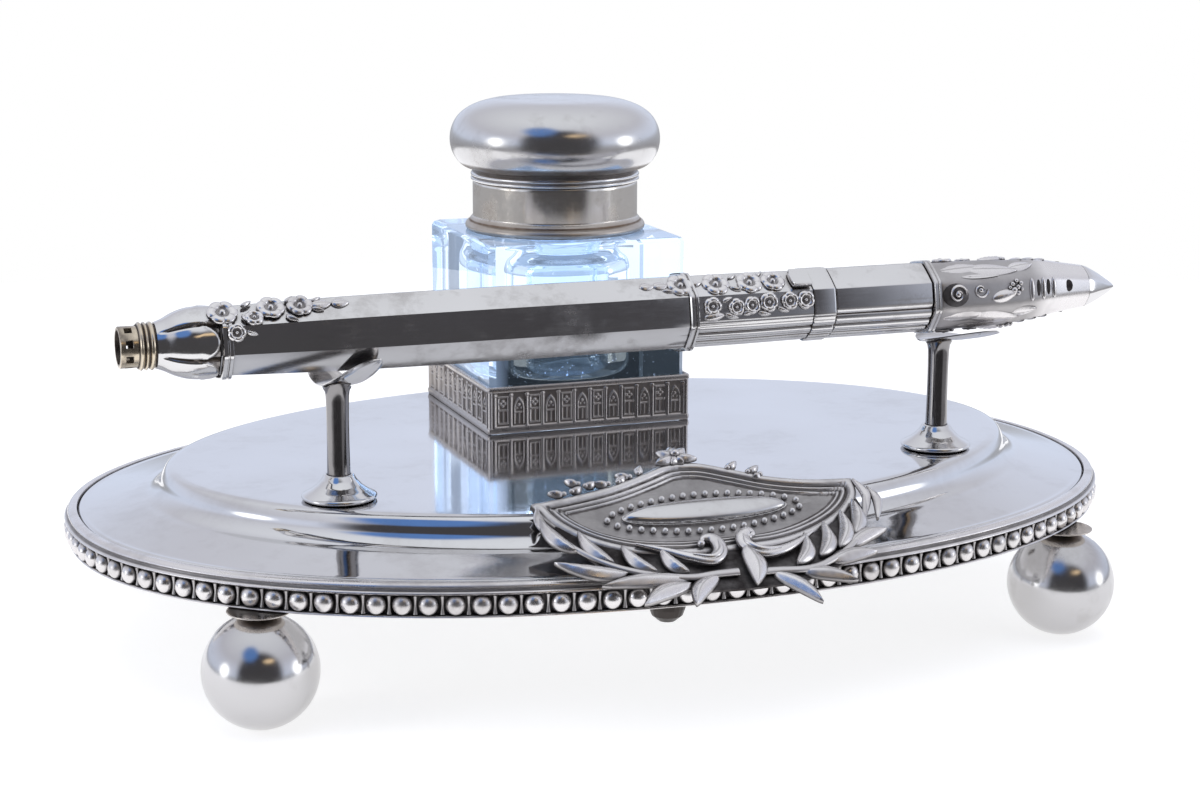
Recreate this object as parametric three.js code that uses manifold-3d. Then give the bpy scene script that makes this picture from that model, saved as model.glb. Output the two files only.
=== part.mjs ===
// Desk inkstand: an oval silver tray on four ball feet, with a glass inkwell
// in a square gallery, a cartouche leaning on the front edge, and a desk pen
// lying across two leaf-shaped rests.
// Millimetres. +X along the tray's length, +Y to the back, +Z up.

import * as THREE from 'three';
import { mergeVertices } from 'three/addons/utils/BufferGeometryUtils.js';
import { LoftGeometry } from 'three/addons/geometries/LoftGeometry.js';
import Module from 'manifold-3d';

// ---- Driving dimensions ---------------------------------------------------

const GAP = 0.1; // between pieces that only touch
const TURNED_GAP = 0.3; // between pieces that touch inside a tilted group
const FRONT_REACH = 11.8; // how far the laurel tips stand out past the rim
const DEGREE = Math.PI / 180;

const tray = {
  halfLength: 110,
  halfWidth: 75.2,
  power: 2.14,
  rimBottom: 22.2,
  rimTop: 28.5,
  beadWidth: 2.9,
  sheet: 1.0,
  flange: 5.0,
  step: { halfLength: 96.1, halfWidth: 64.2, height: 30.7 },
  plateau: { halfLength: 90.3, halfWidth: 59.6, power: 1.96, top: 36.4 },
};

const foot = { radius: 10.8, flat: 2.0, x: 82.9, y: 49.3, padRadius: 6.0, padThickness: 0.8 };

const well = {
  x: 2.0,
  y: 32.3,
  galleryHalf: 22.85,
  galleryHeight: 10.8,
  galleryWall: 0.75,
  galleryPanel: 0.3,
  glassHalf: 21.9,
  glassTop: 76.2,
  glassBevel: 1.2,
  boreRadius: 14.0,
  boreFloor: 45.0,
  boreTop: 72.0,
  neckRadius: 15.8,
  mouthRadius: 11.0,
  neckTop: 84.0,
  collarFootTop: 79.4,
  collarRadius: 17.9,
  collarTop: 86.9,
  lidBandTop: 89.5,
  spigotLength: 1.5,
  lidBandRadius: 18.3,
  domeRadius: 22.8,
  domeTop: 104.8,
  lidWall: 0.9,
};

const hinge = { back: 19.9, height: 87.0, knuckle: 1.3, bore: 0.8, pin: 0.5, halfWidth: 6.0, lidHalf: 1.8 };

const rest = {
  x: 63.1,
  y: -30.8,
  columnRadius: 2.2,
  flangeRadius: 7.2,
  flangeHeight: 4.8,
  studRadius: 1.5,
  studBottom: 31.0,
  nutWidth: 5.5,
  nutHeight: 2.6,
  cradleThickness: 0.8,
  cradleBend: 1.2,
};

// Each cradle is a bent leaf: its turn from straight across the pen, its reach
// to the front and to the back, its half width, the slope of its sides and the
// height of its valley.
const cradles = {
  left: { yaw: 36 * DEGREE, nearLength: 10.6, farLength: 6.5, halfWidth: 2.9, slope: 0.8, base: 57.6 },
  right: { yaw: 68 * DEGREE, nearLength: 12.3, farLength: 4.8, halfWidth: 3.6, slope: 0.5, base: 58.2 },
};

const pen = {
  y: -30.8,
  z: 68.0,
  roll: -10 * DEGREE,
  socketEnd: -103.4,
  socketCollar: -100.1,
  shoulderStart: -96.8,
  barrelStart: -85.9,
  middleBand: 5.2,
  collarStart: 31.6,
  flutedStart: 36.5,
  endBand: 58.0,
  endBandLength: 1.7,
  tipStart: 95.5,
  tipEnd: 103.8,
  tipDrop: 0.3,
  endWidth: 13.2,
  midWidth: 14.2,
  collarWidth: 14.6,
  coreRadius: 4.9,
  socketRadius: 3.9,
  socketBore: 3.05,
};

// Hollow bands round the barrel: each one's start, length, and its widths
// across the flats outside and inside.
const bands = {
  nib_end: { start: -85.6, length: 2.0, width: 14.2, hole: 13.3 },
  middle: { start: pen.middleBand, length: 1.8, width: 15.4, hole: pen.midWidth + 2 * GAP },
};

const cartouche = {
  lean: Math.atan(0.5255),
  footY: -73.4,
  footZ: 29.4,
  halfWidth: 34,
  cornerHeight: 20,
  peakX: -2.4,
  peakHeight: 27.4,
  plate: 0.8,
  moulding: 1.2,
  bossX: -1.2,
  bossHalf: 17.0,
  bossHalfHeight: 3.2,
  bossHeight: 13.4,
  beadHalf: 20.6,
  beadHalfHeight: 6.4,
  nutX: -12,
  nutY: -69.8,
};

const OVAL_SIDES = 60;
const TURNED_SIDES = 28;
const SMALL_SIDES = 16;

// ---- Materials ------------------------------------------------------------

const silver = new THREE.MeshStandardMaterial({ color: 0xc9c9cc, roughness: 0.18, metalness: 1 });
const wornSilver = new THREE.MeshStandardMaterial({ color: 0xa9a6a2, roughness: 0.32, metalness: 1 });
const steel = new THREE.MeshStandardMaterial({ color: 0x8b8b8d, roughness: 0.35, metalness: 1 });
const darkWood = new THREE.MeshStandardMaterial({ color: 0x5a4330, roughness: 0.7, metalness: 0 });
const crystal = new THREE.MeshStandardMaterial({
  color: 0xcfe0f2, roughness: 0.03, metalness: 0, transparent: true, opacity: 0.45,
});

// ---- Geometry helpers -----------------------------------------------------

const wasm = await Module();
wasm.setup();

// Keeps only positions, welds shared corners, drops slivers with no area and
// makes every face point outwards.
function closed(geometry) {
  const bare = new THREE.BufferGeometry();
  bare.setAttribute('position', geometry.getAttribute('position'));
  bare.setIndex(geometry.getIndex());
  const welded = mergeVertices(bare, 1e-4);
  const corner = welded.getIndex().array;
  const kept = [];
  for (let i = 0; i < corner.length; i += 3) {
    const [a, b, c] = [corner[i], corner[i + 1], corner[i + 2]];
    if (a !== b && b !== c && c !== a) {
      kept.push(a, b, c);
    }
  }
  const position = welded.getAttribute('position');
  if (signedVolume(position, kept) < 0) {
    kept.reverse();
  }
  welded.setIndex(kept);
  return welded;
}

function signedVolume(position, corners) {
  const [a, b, c] = [new THREE.Vector3(), new THREE.Vector3(), new THREE.Vector3()];
  let volume = 0;
  for (let i = 0; i < corners.length; i += 3) {
    a.fromBufferAttribute(position, corners[i]);
    b.fromBufferAttribute(position, corners[i + 1]);
    c.fromBufferAttribute(position, corners[i + 2]);
    volume += a.dot(b.cross(c)) / 6;
  }
  return volume;
}

function toManifold(geometry) {
  const vertProperties = new Float32Array(geometry.getAttribute('position').array);
  const triVerts = new Uint32Array(geometry.getIndex().array);
  return new wasm.Manifold(new wasm.Mesh({ numProp: 3, vertProperties, triVerts }));
}

function fromManifold(manifold) {
  const mesh = manifold.getMesh();
  const geometry = new THREE.BufferGeometry();
  geometry.setAttribute('position', new THREE.BufferAttribute(mesh.vertProperties, 3));
  geometry.setIndex(new THREE.BufferAttribute(mesh.triVerts, 1));
  return geometry;
}

function join(first, ...others) {
  let solid = toManifold(first);
  for (const other of others) {
    solid = solid.add(toManifold(other));
  }
  return fromManifold(solid);
}

function cut(first, ...others) {
  let solid = toManifold(first);
  for (const other of others) {
    solid = solid.subtract(toManifold(other));
  }
  return fromManifold(solid);
}

// Skins a run of sections and closes both ends with a ladder of triangles
// between each section's two halves.
function loft(sections) {
  const walls = new LoftGeometry(sections);
  const corners = Array.from(walls.getIndex().array);
  const columns = sections[0].length;
  const lastRow = (sections.length - 1) * (columns + 1);
  for (let i = 0; i < Math.ceil(columns / 2) - 1; i += 1) {
    const j = columns - 1 - i;
    corners.push(i + 1, i, j, i + 1, j, j - 1);
    const [a, b, c, d] = [i, i + 1, j - 1, j].map((column) => lastRow + column);
    corners.push(a, b, c, a, c, d);
  }
  walls.setIndex(corners);
  return closed(walls);
}

// A ring-shaped solid: the sections go round its cross-section and meet again.
function loftLoop(sections) {
  return closed(new LoftGeometry([...sections, sections[0]]));
}

function ovalRing(halfLength, halfWidth, power, z) {
  const points = [];
  for (let i = 0; i < OVAL_SIDES; i += 1) {
    const angle = (2 * Math.PI * i) / OVAL_SIDES;
    const [c, s] = [Math.cos(angle), Math.sin(angle)];
    const x = halfLength * Math.sign(c) * Math.abs(c) ** (2 / power);
    const y = halfWidth * Math.sign(s) * Math.abs(s) ** (2 / power);
    points.push(new THREE.Vector3(x, y, z));
  }
  return points;
}

// A square ring with its corners cut off by the bevel.
function squareRing(half, bevel, z) {
  const inner = half - bevel;
  const corners = [
    [half, -inner], [half, inner], [inner, half], [-inner, half],
    [-half, inner], [-half, -inner], [-inner, -half], [inner, -half],
  ];
  return corners.map(([x, y]) => new THREE.Vector3(x, y, z));
}

// A solid of revolution about Z from [radius, height] pairs.
function turned(profile, sides = TURNED_SIDES) {
  const points = profile.map(([radius, height]) => new THREE.Vector2(radius, height));
  const geometry = new THREE.LatheGeometry(points, sides);
  geometry.rotateX(Math.PI / 2);
  return closed(geometry);
}

function rod(radius, low, high, sides = SMALL_SIDES) {
  return turned([[0, low], [radius, low], [radius, high], [0, high]], sides);
}

// A rod along X between two places.
function crossRod(radius, x0, x1, sides = SMALL_SIDES) {
  const geometry = rod(radius, x0, x1, sides);
  geometry.rotateY(Math.PI / 2);
  return geometry;
}

function block(x0, x1, y0, y1, z0, z1) {
  const geometry = new THREE.BoxGeometry(x1 - x0, y1 - y0, z1 - z0);
  geometry.translate((x0 + x1) / 2, (y0 + y1) / 2, (z0 + z1) / 2);
  return closed(geometry);
}

function extruded(shape, depth, curveSegments = 6) {
  return closed(new THREE.ExtrudeGeometry(shape, { depth, curveSegments, bevelEnabled: false }));
}

function piece(name, geometry, material) {
  const mesh = new THREE.Mesh(geometry, material.clone());
  mesh.name = name;
  return mesh;
}

function placed(object, x, y, z) {
  object.position.set(x, y, z);
  return object;
}

// ---- Tray -----------------------------------------------------------------

// Pressed sheet: flat plateau, rolled edge, cove, sloping border, skirt and a
// turned-in flange, then the same course back on the inside.
function trayShell() {
  const { plateau, step, sheet } = tray;
  const skirtLength = tray.halfLength - tray.beadWidth;
  const skirtWidth = tray.halfWidth - tray.beadWidth;
  const outside = [
    [plateau.halfLength - 2.2, plateau.halfWidth - 2.2, plateau.power, plateau.top],
    [plateau.halfLength - 0.6, plateau.halfWidth - 0.6, plateau.power, plateau.top - 0.5],
    [plateau.halfLength + 0.3, plateau.halfWidth + 0.3, plateau.power, plateau.top - 1.8],
    [plateau.halfLength + 1.0, plateau.halfWidth + 0.9, plateau.power, plateau.top - 3.4],
    [plateau.halfLength + 2.8, plateau.halfWidth + 2.4, plateau.power, step.height + 0.7],
    [step.halfLength, step.halfWidth, plateau.power, step.height],
    [skirtLength, skirtWidth, tray.power, tray.rimTop],
    [skirtLength, skirtWidth, tray.power, tray.rimBottom + GAP],
  ];
  const flangeTop = tray.rimBottom + GAP + sheet;
  const inside = [
    [skirtLength - tray.flange, skirtWidth - tray.flange, tray.power, tray.rimBottom + GAP],
    [skirtLength - tray.flange, skirtWidth - tray.flange, tray.power, flangeTop],
    [skirtLength - sheet, skirtWidth - sheet, tray.power, flangeTop],
    [skirtLength - sheet, skirtWidth - sheet, tray.power, tray.rimTop - sheet],
    [step.halfLength, step.halfWidth, plateau.power, step.height - sheet],
    [plateau.halfLength + 1.6, plateau.halfWidth + 1.2, plateau.power, step.height - 0.3],
    [plateau.halfLength - 0.8, plateau.halfWidth - 0.8, plateau.power, plateau.top - 2.0],
    [plateau.halfLength - 2.4, plateau.halfWidth - 2.4, plateau.power, plateau.top - sheet],
  ];
  const shell = loft([...outside, ...inside].map((ring) => ovalRing(...ring)));
  const studHoles = [-rest.x, rest.x].map((x) => {
    const hole = rod(rest.studRadius + GAP, tray.plateau.top - 3, tray.plateau.top + 3);
    hole.translate(x, rest.y, 0);
    return hole;
  });
  return cut(shell, ...studHoles);
}

// The solid strip that carries the beading, with a plain moulding above it.
function beadBorder() {
  const innerLength = tray.halfLength - tray.beadWidth + GAP;
  const innerWidth = tray.halfWidth - tray.beadWidth + GAP;
  const outline = [
    [0, tray.rimBottom],
    [tray.beadWidth - 0.9, tray.rimBottom],
    [tray.beadWidth - GAP, tray.rimBottom + 1.2],
    [tray.beadWidth - GAP, tray.rimBottom + 3.4],
    [tray.beadWidth - 0.9, tray.rimBottom + 4.6],
    [tray.beadWidth - 1.3, tray.rimTop],
    [0, tray.rimTop + 0.2],
  ];
  const rings = outline.map(([out, z]) => ovalRing(innerLength + out, innerWidth + out, tray.power, z));
  return loftLoop(rings);
}

// ---- Feet -----------------------------------------------------------------

const padBottom = tray.rimBottom - foot.padThickness;

function footBall() {
  const centre = Math.sqrt(foot.radius ** 2 - foot.flat ** 2);
  const topFlat = Math.sqrt(foot.radius ** 2 - (padBottom - GAP - centre) ** 2);
  const low = Math.asin(-centre / foot.radius);
  const high = Math.acos(topFlat / foot.radius);
  const steps = 9;
  const profile = [[0, 0]];
  for (let i = 0; i <= steps; i += 1) {
    const angle = low + ((high - low) * i) / steps;
    profile.push([foot.radius * Math.cos(angle), centre + foot.radius * Math.sin(angle)]);
  }
  profile.push([0, padBottom - GAP]);
  return turned(profile, 18);
}

function footPad() {
  return rod(foot.padRadius, padBottom, tray.rimBottom - GAP, 18);
}

// ---- Inkwell --------------------------------------------------------------

const seat = tray.plateau.top + GAP;

function gallery() {
  const { galleryHalf, galleryHeight, galleryWall, galleryPanel } = well;
  const outline = [
    [galleryHalf, seat],
    [galleryHalf, seat + 1.2],
    [galleryHalf - galleryPanel, seat + 1.6],
    [galleryHalf - galleryPanel, seat + galleryHeight - 1.6],
    [galleryHalf, seat + galleryHeight - 1.2],
    [galleryHalf, seat + galleryHeight],
    [galleryHalf - galleryWall, seat + galleryHeight],
    [galleryHalf - galleryWall, seat],
  ];
  return loftLoop(outline.map(([half, z]) => squareRing(half, 0.4, z)));
}

function glassBlock() {
  const { glassHalf, glassBevel, glassTop } = well;
  const base = seat + GAP;
  const body = loft([
    squareRing(glassHalf - 0.8, glassBevel - 0.4, base),
    squareRing(glassHalf, glassBevel, base + 0.8),
    squareRing(glassHalf, glassBevel, glassTop - 1.0),
    squareRing(glassHalf - 1.0, glassBevel - 0.4, glassTop),
  ]);
  const neck = rod(well.neckRadius, glassTop - 2, well.neckTop, TURNED_SIDES);
  const hollow = turned([
    [0, well.boreFloor],
    [well.boreRadius - 3, well.boreFloor],
    [well.boreRadius, well.boreFloor + 3],
    [well.boreRadius, well.boreTop - 2],
    [well.mouthRadius, well.boreTop + 1],
    [well.mouthRadius, well.neckTop + 1],
    [0, well.neckTop + 1],
  ]);
  return cut(join(body, neck), hollow);
}

function neckCollar() {
  const bottom = well.glassTop + GAP;
  const inner = well.neckRadius + GAP;
  return turned([
    [inner, bottom],
    [well.collarRadius + 1.4, bottom],
    [well.collarRadius + 1.7, bottom + 1.2],
    [well.collarRadius + 0.9, bottom + 2.4],
    [well.collarRadius, well.collarFootTop],
    [well.collarRadius, well.collarTop],
    [well.collarRadius - 1.2, well.collarTop],
    [well.collarRadius - 1.2, well.neckTop + 1],
    [inner, well.neckTop + 1],
    [inner, bottom],
  ]);
}

function lidSeatRing() {
  const bottom = well.collarTop + GAP;
  const spigot = well.collarRadius - 1.8;
  return turned([
    [spigot - 0.9, bottom - well.spigotLength],
    [spigot, bottom - well.spigotLength],
    [spigot, bottom],
    [well.lidBandRadius, bottom],
    [well.lidBandRadius, well.lidBandTop],
    [spigot - 0.9, well.lidBandTop],
    [spigot - 0.9, bottom - well.spigotLength],
  ]);
}

// A mushroom dome: a flared underside, a tight shoulder and a flat crown.
function lidDome() {
  const bottom = well.lidBandTop + GAP;
  const { domeRadius, domeTop, lidWall } = well;
  const outside = [
    [18.6, bottom],
    [21.0, bottom + 1.6],
    [22.5, bottom + 3.8],
    [domeRadius, bottom + 6.0],
    [22.4, bottom + 8.7],
    [21.0, bottom + 11.2],
    [18.4, bottom + 13.2],
    [14.0, domeTop - 0.5],
    [8.0, domeTop - 0.1],
    [0, domeTop],
  ];
  const inside = outside.map(([radius, z]) => [
    Math.max(0, radius - lidWall), Math.min(z, domeTop - lidWall),
  ]);
  inside[0][1] = bottom;
  return turned([...outside, ...inside.reverse(), outside[0]]);
}

// ---- Lid hinge, about an axis through the group's origin -------------------

function hingeBore() {
  return crossRod(hinge.bore, -hinge.halfWidth - 1, hinge.halfWidth + 1);
}

function hingeCollarLeaf() {
  const lugInner = hinge.lidHalf + 0.2;
  const plate = block(-hinge.halfWidth, hinge.halfWidth, -1.9, -1.1, -4.8, -1.7);
  const parts = [];
  for (const side of [-1, 1]) {
    const [near, far] = [side * lugInner, side * hinge.halfWidth].sort((a, b) => a - b);
    parts.push(crossRod(hinge.knuckle, near, far));
    parts.push(block(near, far, -1.6, -0.6, -2.2, 0));
  }
  return cut(join(plate, ...parts), hingeBore());
}

function hingeLidLeaf() {
  const knuckle = crossRod(hinge.knuckle, -hinge.lidHalf, hinge.lidHalf);
  const lug = block(-hinge.lidHalf, hinge.lidHalf, -1.5, -0.6, 0, 2.1);
  const plate = block(-5, 5, -1.5, -0.8, 1.4, 2.4);
  return cut(join(knuckle, lug, plate), hingeBore());
}

function hingePin() {
  return crossRod(hinge.pin, -hinge.halfWidth - 0.6, hinge.halfWidth + 0.6, 12);
}

// ---- Pen rests ------------------------------------------------------------

function restFlange() {
  const r = rest.flangeRadius;
  const bore = rest.columnRadius + GAP;
  return turned([
    [bore, seat],
    [r, seat],
    [r, seat + 0.7],
    [r - 1.8, seat + 1.5],
    [bore + 1.6, seat + 2.6],
    [bore + 0.7, seat + rest.flangeHeight],
    [bore, seat + rest.flangeHeight],
    [bore, seat],
  ], 20);
}

function restColumn(top) {
  return turned([
    [0, rest.studBottom],
    [rest.studRadius, rest.studBottom],
    [rest.studRadius, seat],
    [rest.columnRadius, seat],
    [rest.columnRadius, top - 0.6],
    [rest.columnRadius - 0.8, top],
    [0, top],
  ], 20);
}

function restNut() {
  const top = tray.plateau.top - tray.sheet - GAP;
  const radius = rest.nutWidth / Math.sqrt(3);
  const hexagon = rod(radius, top - rest.nutHeight, top, 6);
  return cut(hexagon, rod(rest.studRadius + GAP, rest.studBottom - 1, top + 1));
}

// A leaf of sheet bent up on both sides of the pen. The valley runs along X
// and the leaf lies across it, turned by its yaw.
function cradle({ yaw, nearLength, farLength, halfWidth, slope, base }) {
  const steps = 10;
  const across = 2;
  const sections = [];
  for (let i = 0; i <= steps; i += 1) {
    const along = -farLength + ((farLength + nearLength) * i) / steps;
    const reach = along > 0 ? along / nearLength : -along / farLength;
    const half = halfWidth * Math.sqrt(Math.max(0.02, 1 - reach ** 3));
    const [upper, lower] = [[], []];
    for (let j = 0; j <= across; j += 1) {
      const side = -half + (2 * half * j) / across;
      const x = along * Math.sin(yaw) + side * Math.cos(yaw);
      const y = -along * Math.cos(yaw) + side * Math.sin(yaw);
      const z = Math.sqrt(y ** 2 * slope ** 2 + rest.cradleBend ** 2) + base;
      upper.push(new THREE.Vector3(x, y, z));
      lower.push(new THREE.Vector3(x, y, z - rest.cradleThickness));
    }
    sections.push([...upper, ...lower.reverse()]);
  }
  return loft(sections);
}

// ---- Pen, about its own axis ----------------------------------------------

// A regular eight-sided section across X with flats above and below.
function octagon(x, acrossFlats, drop = 0) {
  const radius = acrossFlats / 2 / Math.cos(Math.PI / 8);
  const points = [];
  for (let i = 0; i < 8; i += 1) {
    const angle = (Math.PI / 4) * (i + 0.5);
    points.push(new THREE.Vector3(x, radius * Math.cos(angle), radius * Math.sin(angle) - drop));
  }
  return points;
}

function lobed(x, radius, lobes, depth, drop = 0) {
  const points = [];
  const count = lobes * 4;
  for (let i = 0; i < count; i += 1) {
    const angle = (2 * Math.PI * i) / count;
    const r = radius * (1 - depth * (0.5 + 0.5 * Math.cos(lobes * angle)));
    points.push(new THREE.Vector3(x, r * Math.cos(angle), r * Math.sin(angle) - drop));
  }
  return points;
}

function octagonBand(x0, x1, acrossFlats, hole) {
  const outside = loft([octagon(x0, acrossFlats), octagon(x1, acrossFlats)]);
  return cut(outside, loft([octagon(x0 - 1, hole), octagon(x1 + 1, hole)]));
}

// Sheet barrel, swelling a little in the middle, round inside for its core.
function penBarrel() {
  const middle = (pen.barrelStart + pen.middleBand) / 2;
  const outside = loft([
    octagon(pen.barrelStart + GAP, pen.endWidth - 0.6),
    octagon(pen.barrelStart + 22, pen.midWidth - 0.4),
    octagon(middle + 6, pen.midWidth),
    octagon(pen.middleBand, pen.midWidth - 0.1),
    octagon(pen.collarStart - GAP, pen.midWidth - 0.4),
  ]);
  const bore = crossRod(pen.coreRadius + GAP, pen.barrelStart - 1, pen.collarStart + 1, 20);
  return cut(outside, bore);
}

function penCore() {
  return crossRod(pen.coreRadius, pen.barrelStart + 2 * GAP, pen.collarStart - 2 * GAP, 20);
}

function nibSocket() {
  const tube = turned([
    [pen.socketBore, pen.socketEnd],
    [pen.socketRadius, pen.socketEnd],
    [pen.socketRadius, pen.socketCollar - GAP],
    [pen.socketRadius - 0.3, pen.socketCollar - GAP],
    [pen.socketRadius - 0.3, pen.shoulderStart + 3],
    [0, pen.shoulderStart + 3],
    [0, pen.shoulderStart + 2],
    [pen.socketBore, pen.shoulderStart + 2],
    [pen.socketBore, pen.socketEnd],
  ], 16);
  tube.rotateY(Math.PI / 2);
  const window1 = rod(0.75, -6, 6, 8);
  window1.translate(pen.socketEnd + 1.8, 0, 0);
  const window2 = window1.clone();
  window2.rotateX(Math.PI / 2);
  return cut(tube, window1, window2);
}

function socketCollar() {
  const bore = pen.socketRadius - 0.2;
  const [low, high] = [pen.socketCollar, pen.shoulderStart - GAP];
  const middle = (low + high) / 2;
  const collar = turned([
    [bore, low], [4.1, low], [4.45, low + 0.6], [4.1, middle - 0.25], [4.1, middle + 0.25],
    [4.45, high - 0.6], [4.1, high], [bore, high], [bore, low],
  ], 16);
  collar.rotateY(Math.PI / 2);
  return collar;
}

function penShoulder() {
  const body = loft([
    lobed(pen.shoulderStart, 4.3, 6, 0),
    lobed(pen.shoulderStart + 1.8, 4.9, 6, 0.05),
    lobed(pen.shoulderStart + 4.5, 6.3, 6, 0.1),
    lobed(pen.shoulderStart + 8.0, 6.9, 6, 0.06),
    lobed(pen.barrelStart - GAP, 6.7, 6, 0),
  ]);
  const socket = crossRod(pen.socketRadius - 0.2, pen.shoulderStart - 1, pen.shoulderStart + 3 + GAP, 16);
  return cut(body, socket);
}

function flutedBarrel() {
  return loft([
    lobed(pen.flutedStart, 7.0, 12, 0.05),
    lobed(pen.flutedStart + 8, 7.2, 12, 0.05),
    lobed(pen.endBand - GAP, 7.1, 12, 0.05),
  ]);
}

function endBand() {
  const end = pen.endBand + pen.endBandLength;
  return loft([
    octagon(pen.endBand, 14.2),
    octagon(pen.endBand + 0.3, 14.8),
    octagon(end - 0.3, 14.8),
    octagon(end, 14.2),
  ]);
}

function scrollEnd() {
  const start = pen.endBand + pen.endBandLength + GAP;
  return loft([
    octagon(start, 14.8),
    octagon(start + 9, 15.0),
    octagon(start + 20, 13.8),
    octagon(start + 29, 11.2, -0.6),
    octagon(pen.tipStart - GAP, 9.0, -0.2),
  ]);
}

function penTip() {
  return loft([
    octagon(pen.tipStart, 8.8, -0.2),
    octagon(pen.tipStart + 3, 6.4, -0.1),
    octagon(pen.tipEnd - 2, 3.0, 0.1),
    octagon(pen.tipEnd, 0.8, pen.tipDrop),
  ]);
}

// A run of flower discs along one face of the pen, joined by a thin stalk.
function flowerRun(flowers, faceDistance, faceAngle) {
  const xs = flowers.map(([x]) => x);
  const height = 1.0;
  const solids = flowers.map(([x, up, radius]) => {
    const disc = rod(radius, 0, height, 10);
    disc.translate(x, up, 0);
    return disc;
  });
  const stalk = block(Math.min(...xs), Math.max(...xs), -0.5, 0.5, 0, 0.6);
  const run = join(stalk, ...solids);
  run.translate(0, 0, faceDistance + TURNED_GAP / 2);
  run.rotateX(faceAngle);
  return run;
}

// ---- Cartouche, flat on its own leaning plane -------------------------------

// Shield outline: a peak, two hollow shoulders, and a rounded lower edge.
function shieldShape(scale) {
  const w = cartouche.halfWidth * scale;
  const peak = cartouche.peakX * scale;
  const centre = 15;
  const h = (height) => centre + (height - centre) * scale;
  const shape = new THREE.Shape();
  shape.moveTo(peak, h(cartouche.peakHeight));
  shape.quadraticCurveTo(peak - w * 0.3, h(21.0), -w, h(cartouche.cornerHeight));
  shape.quadraticCurveTo(-w * 0.8, h(7.5), -w * 0.3, h(4.2));
  shape.lineTo(w * 0.3, h(4.2));
  shape.quadraticCurveTo(w * 0.8, h(7.5), w, h(cartouche.cornerHeight));
  shape.quadraticCurveTo(peak + w * 0.4, h(21.0), peak, h(cartouche.peakHeight));
  return shape;
}

function shieldPlate() {
  const plate = extruded(shieldShape(1), cartouche.plate);
  plate.translate(0, 0, -cartouche.plate);
  return plate;
}

function shieldMoulding() {
  const outer = extruded(shieldShape(1), cartouche.moulding);
  const inner = extruded(shieldShape(0.84), cartouche.moulding + 2);
  inner.translate(0, 0, -1);
  const frame = cut(outer, inner);
  frame.translate(0, 0, TURNED_GAP / 3);
  return frame;
}

function ovalShape(half, halfHeight) {
  const shape = new THREE.Shape();
  shape.absellipse(cartouche.bossX, cartouche.bossHeight, half, halfHeight, 0, 2 * Math.PI);
  return shape;
}

function bossSolid() {
  const rings = [[1, 0], [0.97, 0.9], [0.82, 1.7], [0.5, 2.1]].map(([scale, z]) => {
    const half = cartouche.bossHalf * scale;
    const halfHeight = cartouche.bossHalfHeight * scale;
    return ovalShape(half, halfHeight).getPoints(12).slice(0, 24).map((p) => new THREE.Vector3(p.x, p.y, z));
  });
  const boss = loft(rings);
  boss.translate(0, 0, TURNED_GAP / 3);
  return boss;
}

function bossBeading() {
  const outer = extruded(ovalShape(cartouche.beadHalf, cartouche.beadHalfHeight), 0.9, 16);
  const hole = extruded(ovalShape(cartouche.beadHalf - 1.5, cartouche.beadHalfHeight - 1.5), 3, 16);
  hole.translate(0, 0, -1);
  const ring = cut(outer, hole);
  ring.translate(0, 0, TURNED_GAP / 3);
  return ring;
}

function leafShape(length, width) {
  const shape = new THREE.Shape();
  shape.moveTo(0, 0);
  shape.quadraticCurveTo(length * 0.45, width * 0.95, length, 0);
  shape.quadraticCurveTo(length * 0.45, -width * 0.95, 0, 0);
  return shape;
}

function leaf(baseX, baseY, angle, length, width, thickness, lift) {
  const solid = extruded(leafShape(length, width), thickness, 3);
  solid.rotateZ(angle);
  solid.translate(baseX, baseY, lift);
  return solid;
}

// One laurel branch. It runs from the middle of the lower edge out to the
// upper corner, with an inner row of leaves and an outer row that fans out.
function laurelSpray(side) {
  const lift = 1.5;
  const thickness = 1.1;
  const stem = new THREE.QuadraticBezierCurve(
    new THREE.Vector2(-0.8, -4.6), new THREE.Vector2(-23, -7), new THREE.Vector2(-32, 12),
  );
  const half = 0.6;
  const points = stem.getPoints(8);
  const tangents = points.map((_, i) => stem.getTangent(i / 8));
  const offset = (p, t, by) => new THREE.Vector2(p.x - t.y * by, p.y + t.x * by);
  const upper = points.map((p, i) => offset(p, tangents[i], half));
  const lower = points.map((p, i) => offset(p, tangents[i], -half));
  const solids = [extruded(new THREE.Shape([...upper, ...lower.reverse()]), thickness)];
  solids[0].translate(0, 0, lift);
  const innerRow = [0.22, 0.4, 0.6, 0.82];
  for (const t of innerRow) {
    const base = stem.getPoint(t);
    solids.push(leaf(base.x, base.y, 117 * DEGREE, 9.6, 3.0, thickness, lift));
  }
  const outerRow = [0.1, 0.2, 0.4, 0.62];
  outerRow.forEach((t, i) => {
    const base = stem.getPoint(t);
    const angle = (i === 0 && side > 0 ? 236 : 225 - 22 * i) * DEGREE;
    solids.push(leaf(base.x, base.y, angle, i === 0 && side < 0 ? 8.4 : 11.0, 3.2, thickness, lift));
  });
  const spray = join(...solids);
  if (side > 0) {
    spray.scale(-1, 1, 1);
    return closed(spray);
  }
  return spray;
}

function scroll(side) {
  const outer = new THREE.Shape();
  outer.moveTo(side * 1.2, 3.2);
  outer.quadraticCurveTo(side * 1.4, 7.6, side * 4.6, 7.2);
  outer.quadraticCurveTo(side * 5.4, 5.2, side * 13.2, 4.4);
  outer.quadraticCurveTo(side * 8, 1.6, side * 1.2, 3.2);
  const solid = extruded(outer, 1.1, 5);
  solid.translate(0, 0, cartouche.moulding + TURNED_GAP);
  return solid;
}

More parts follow.
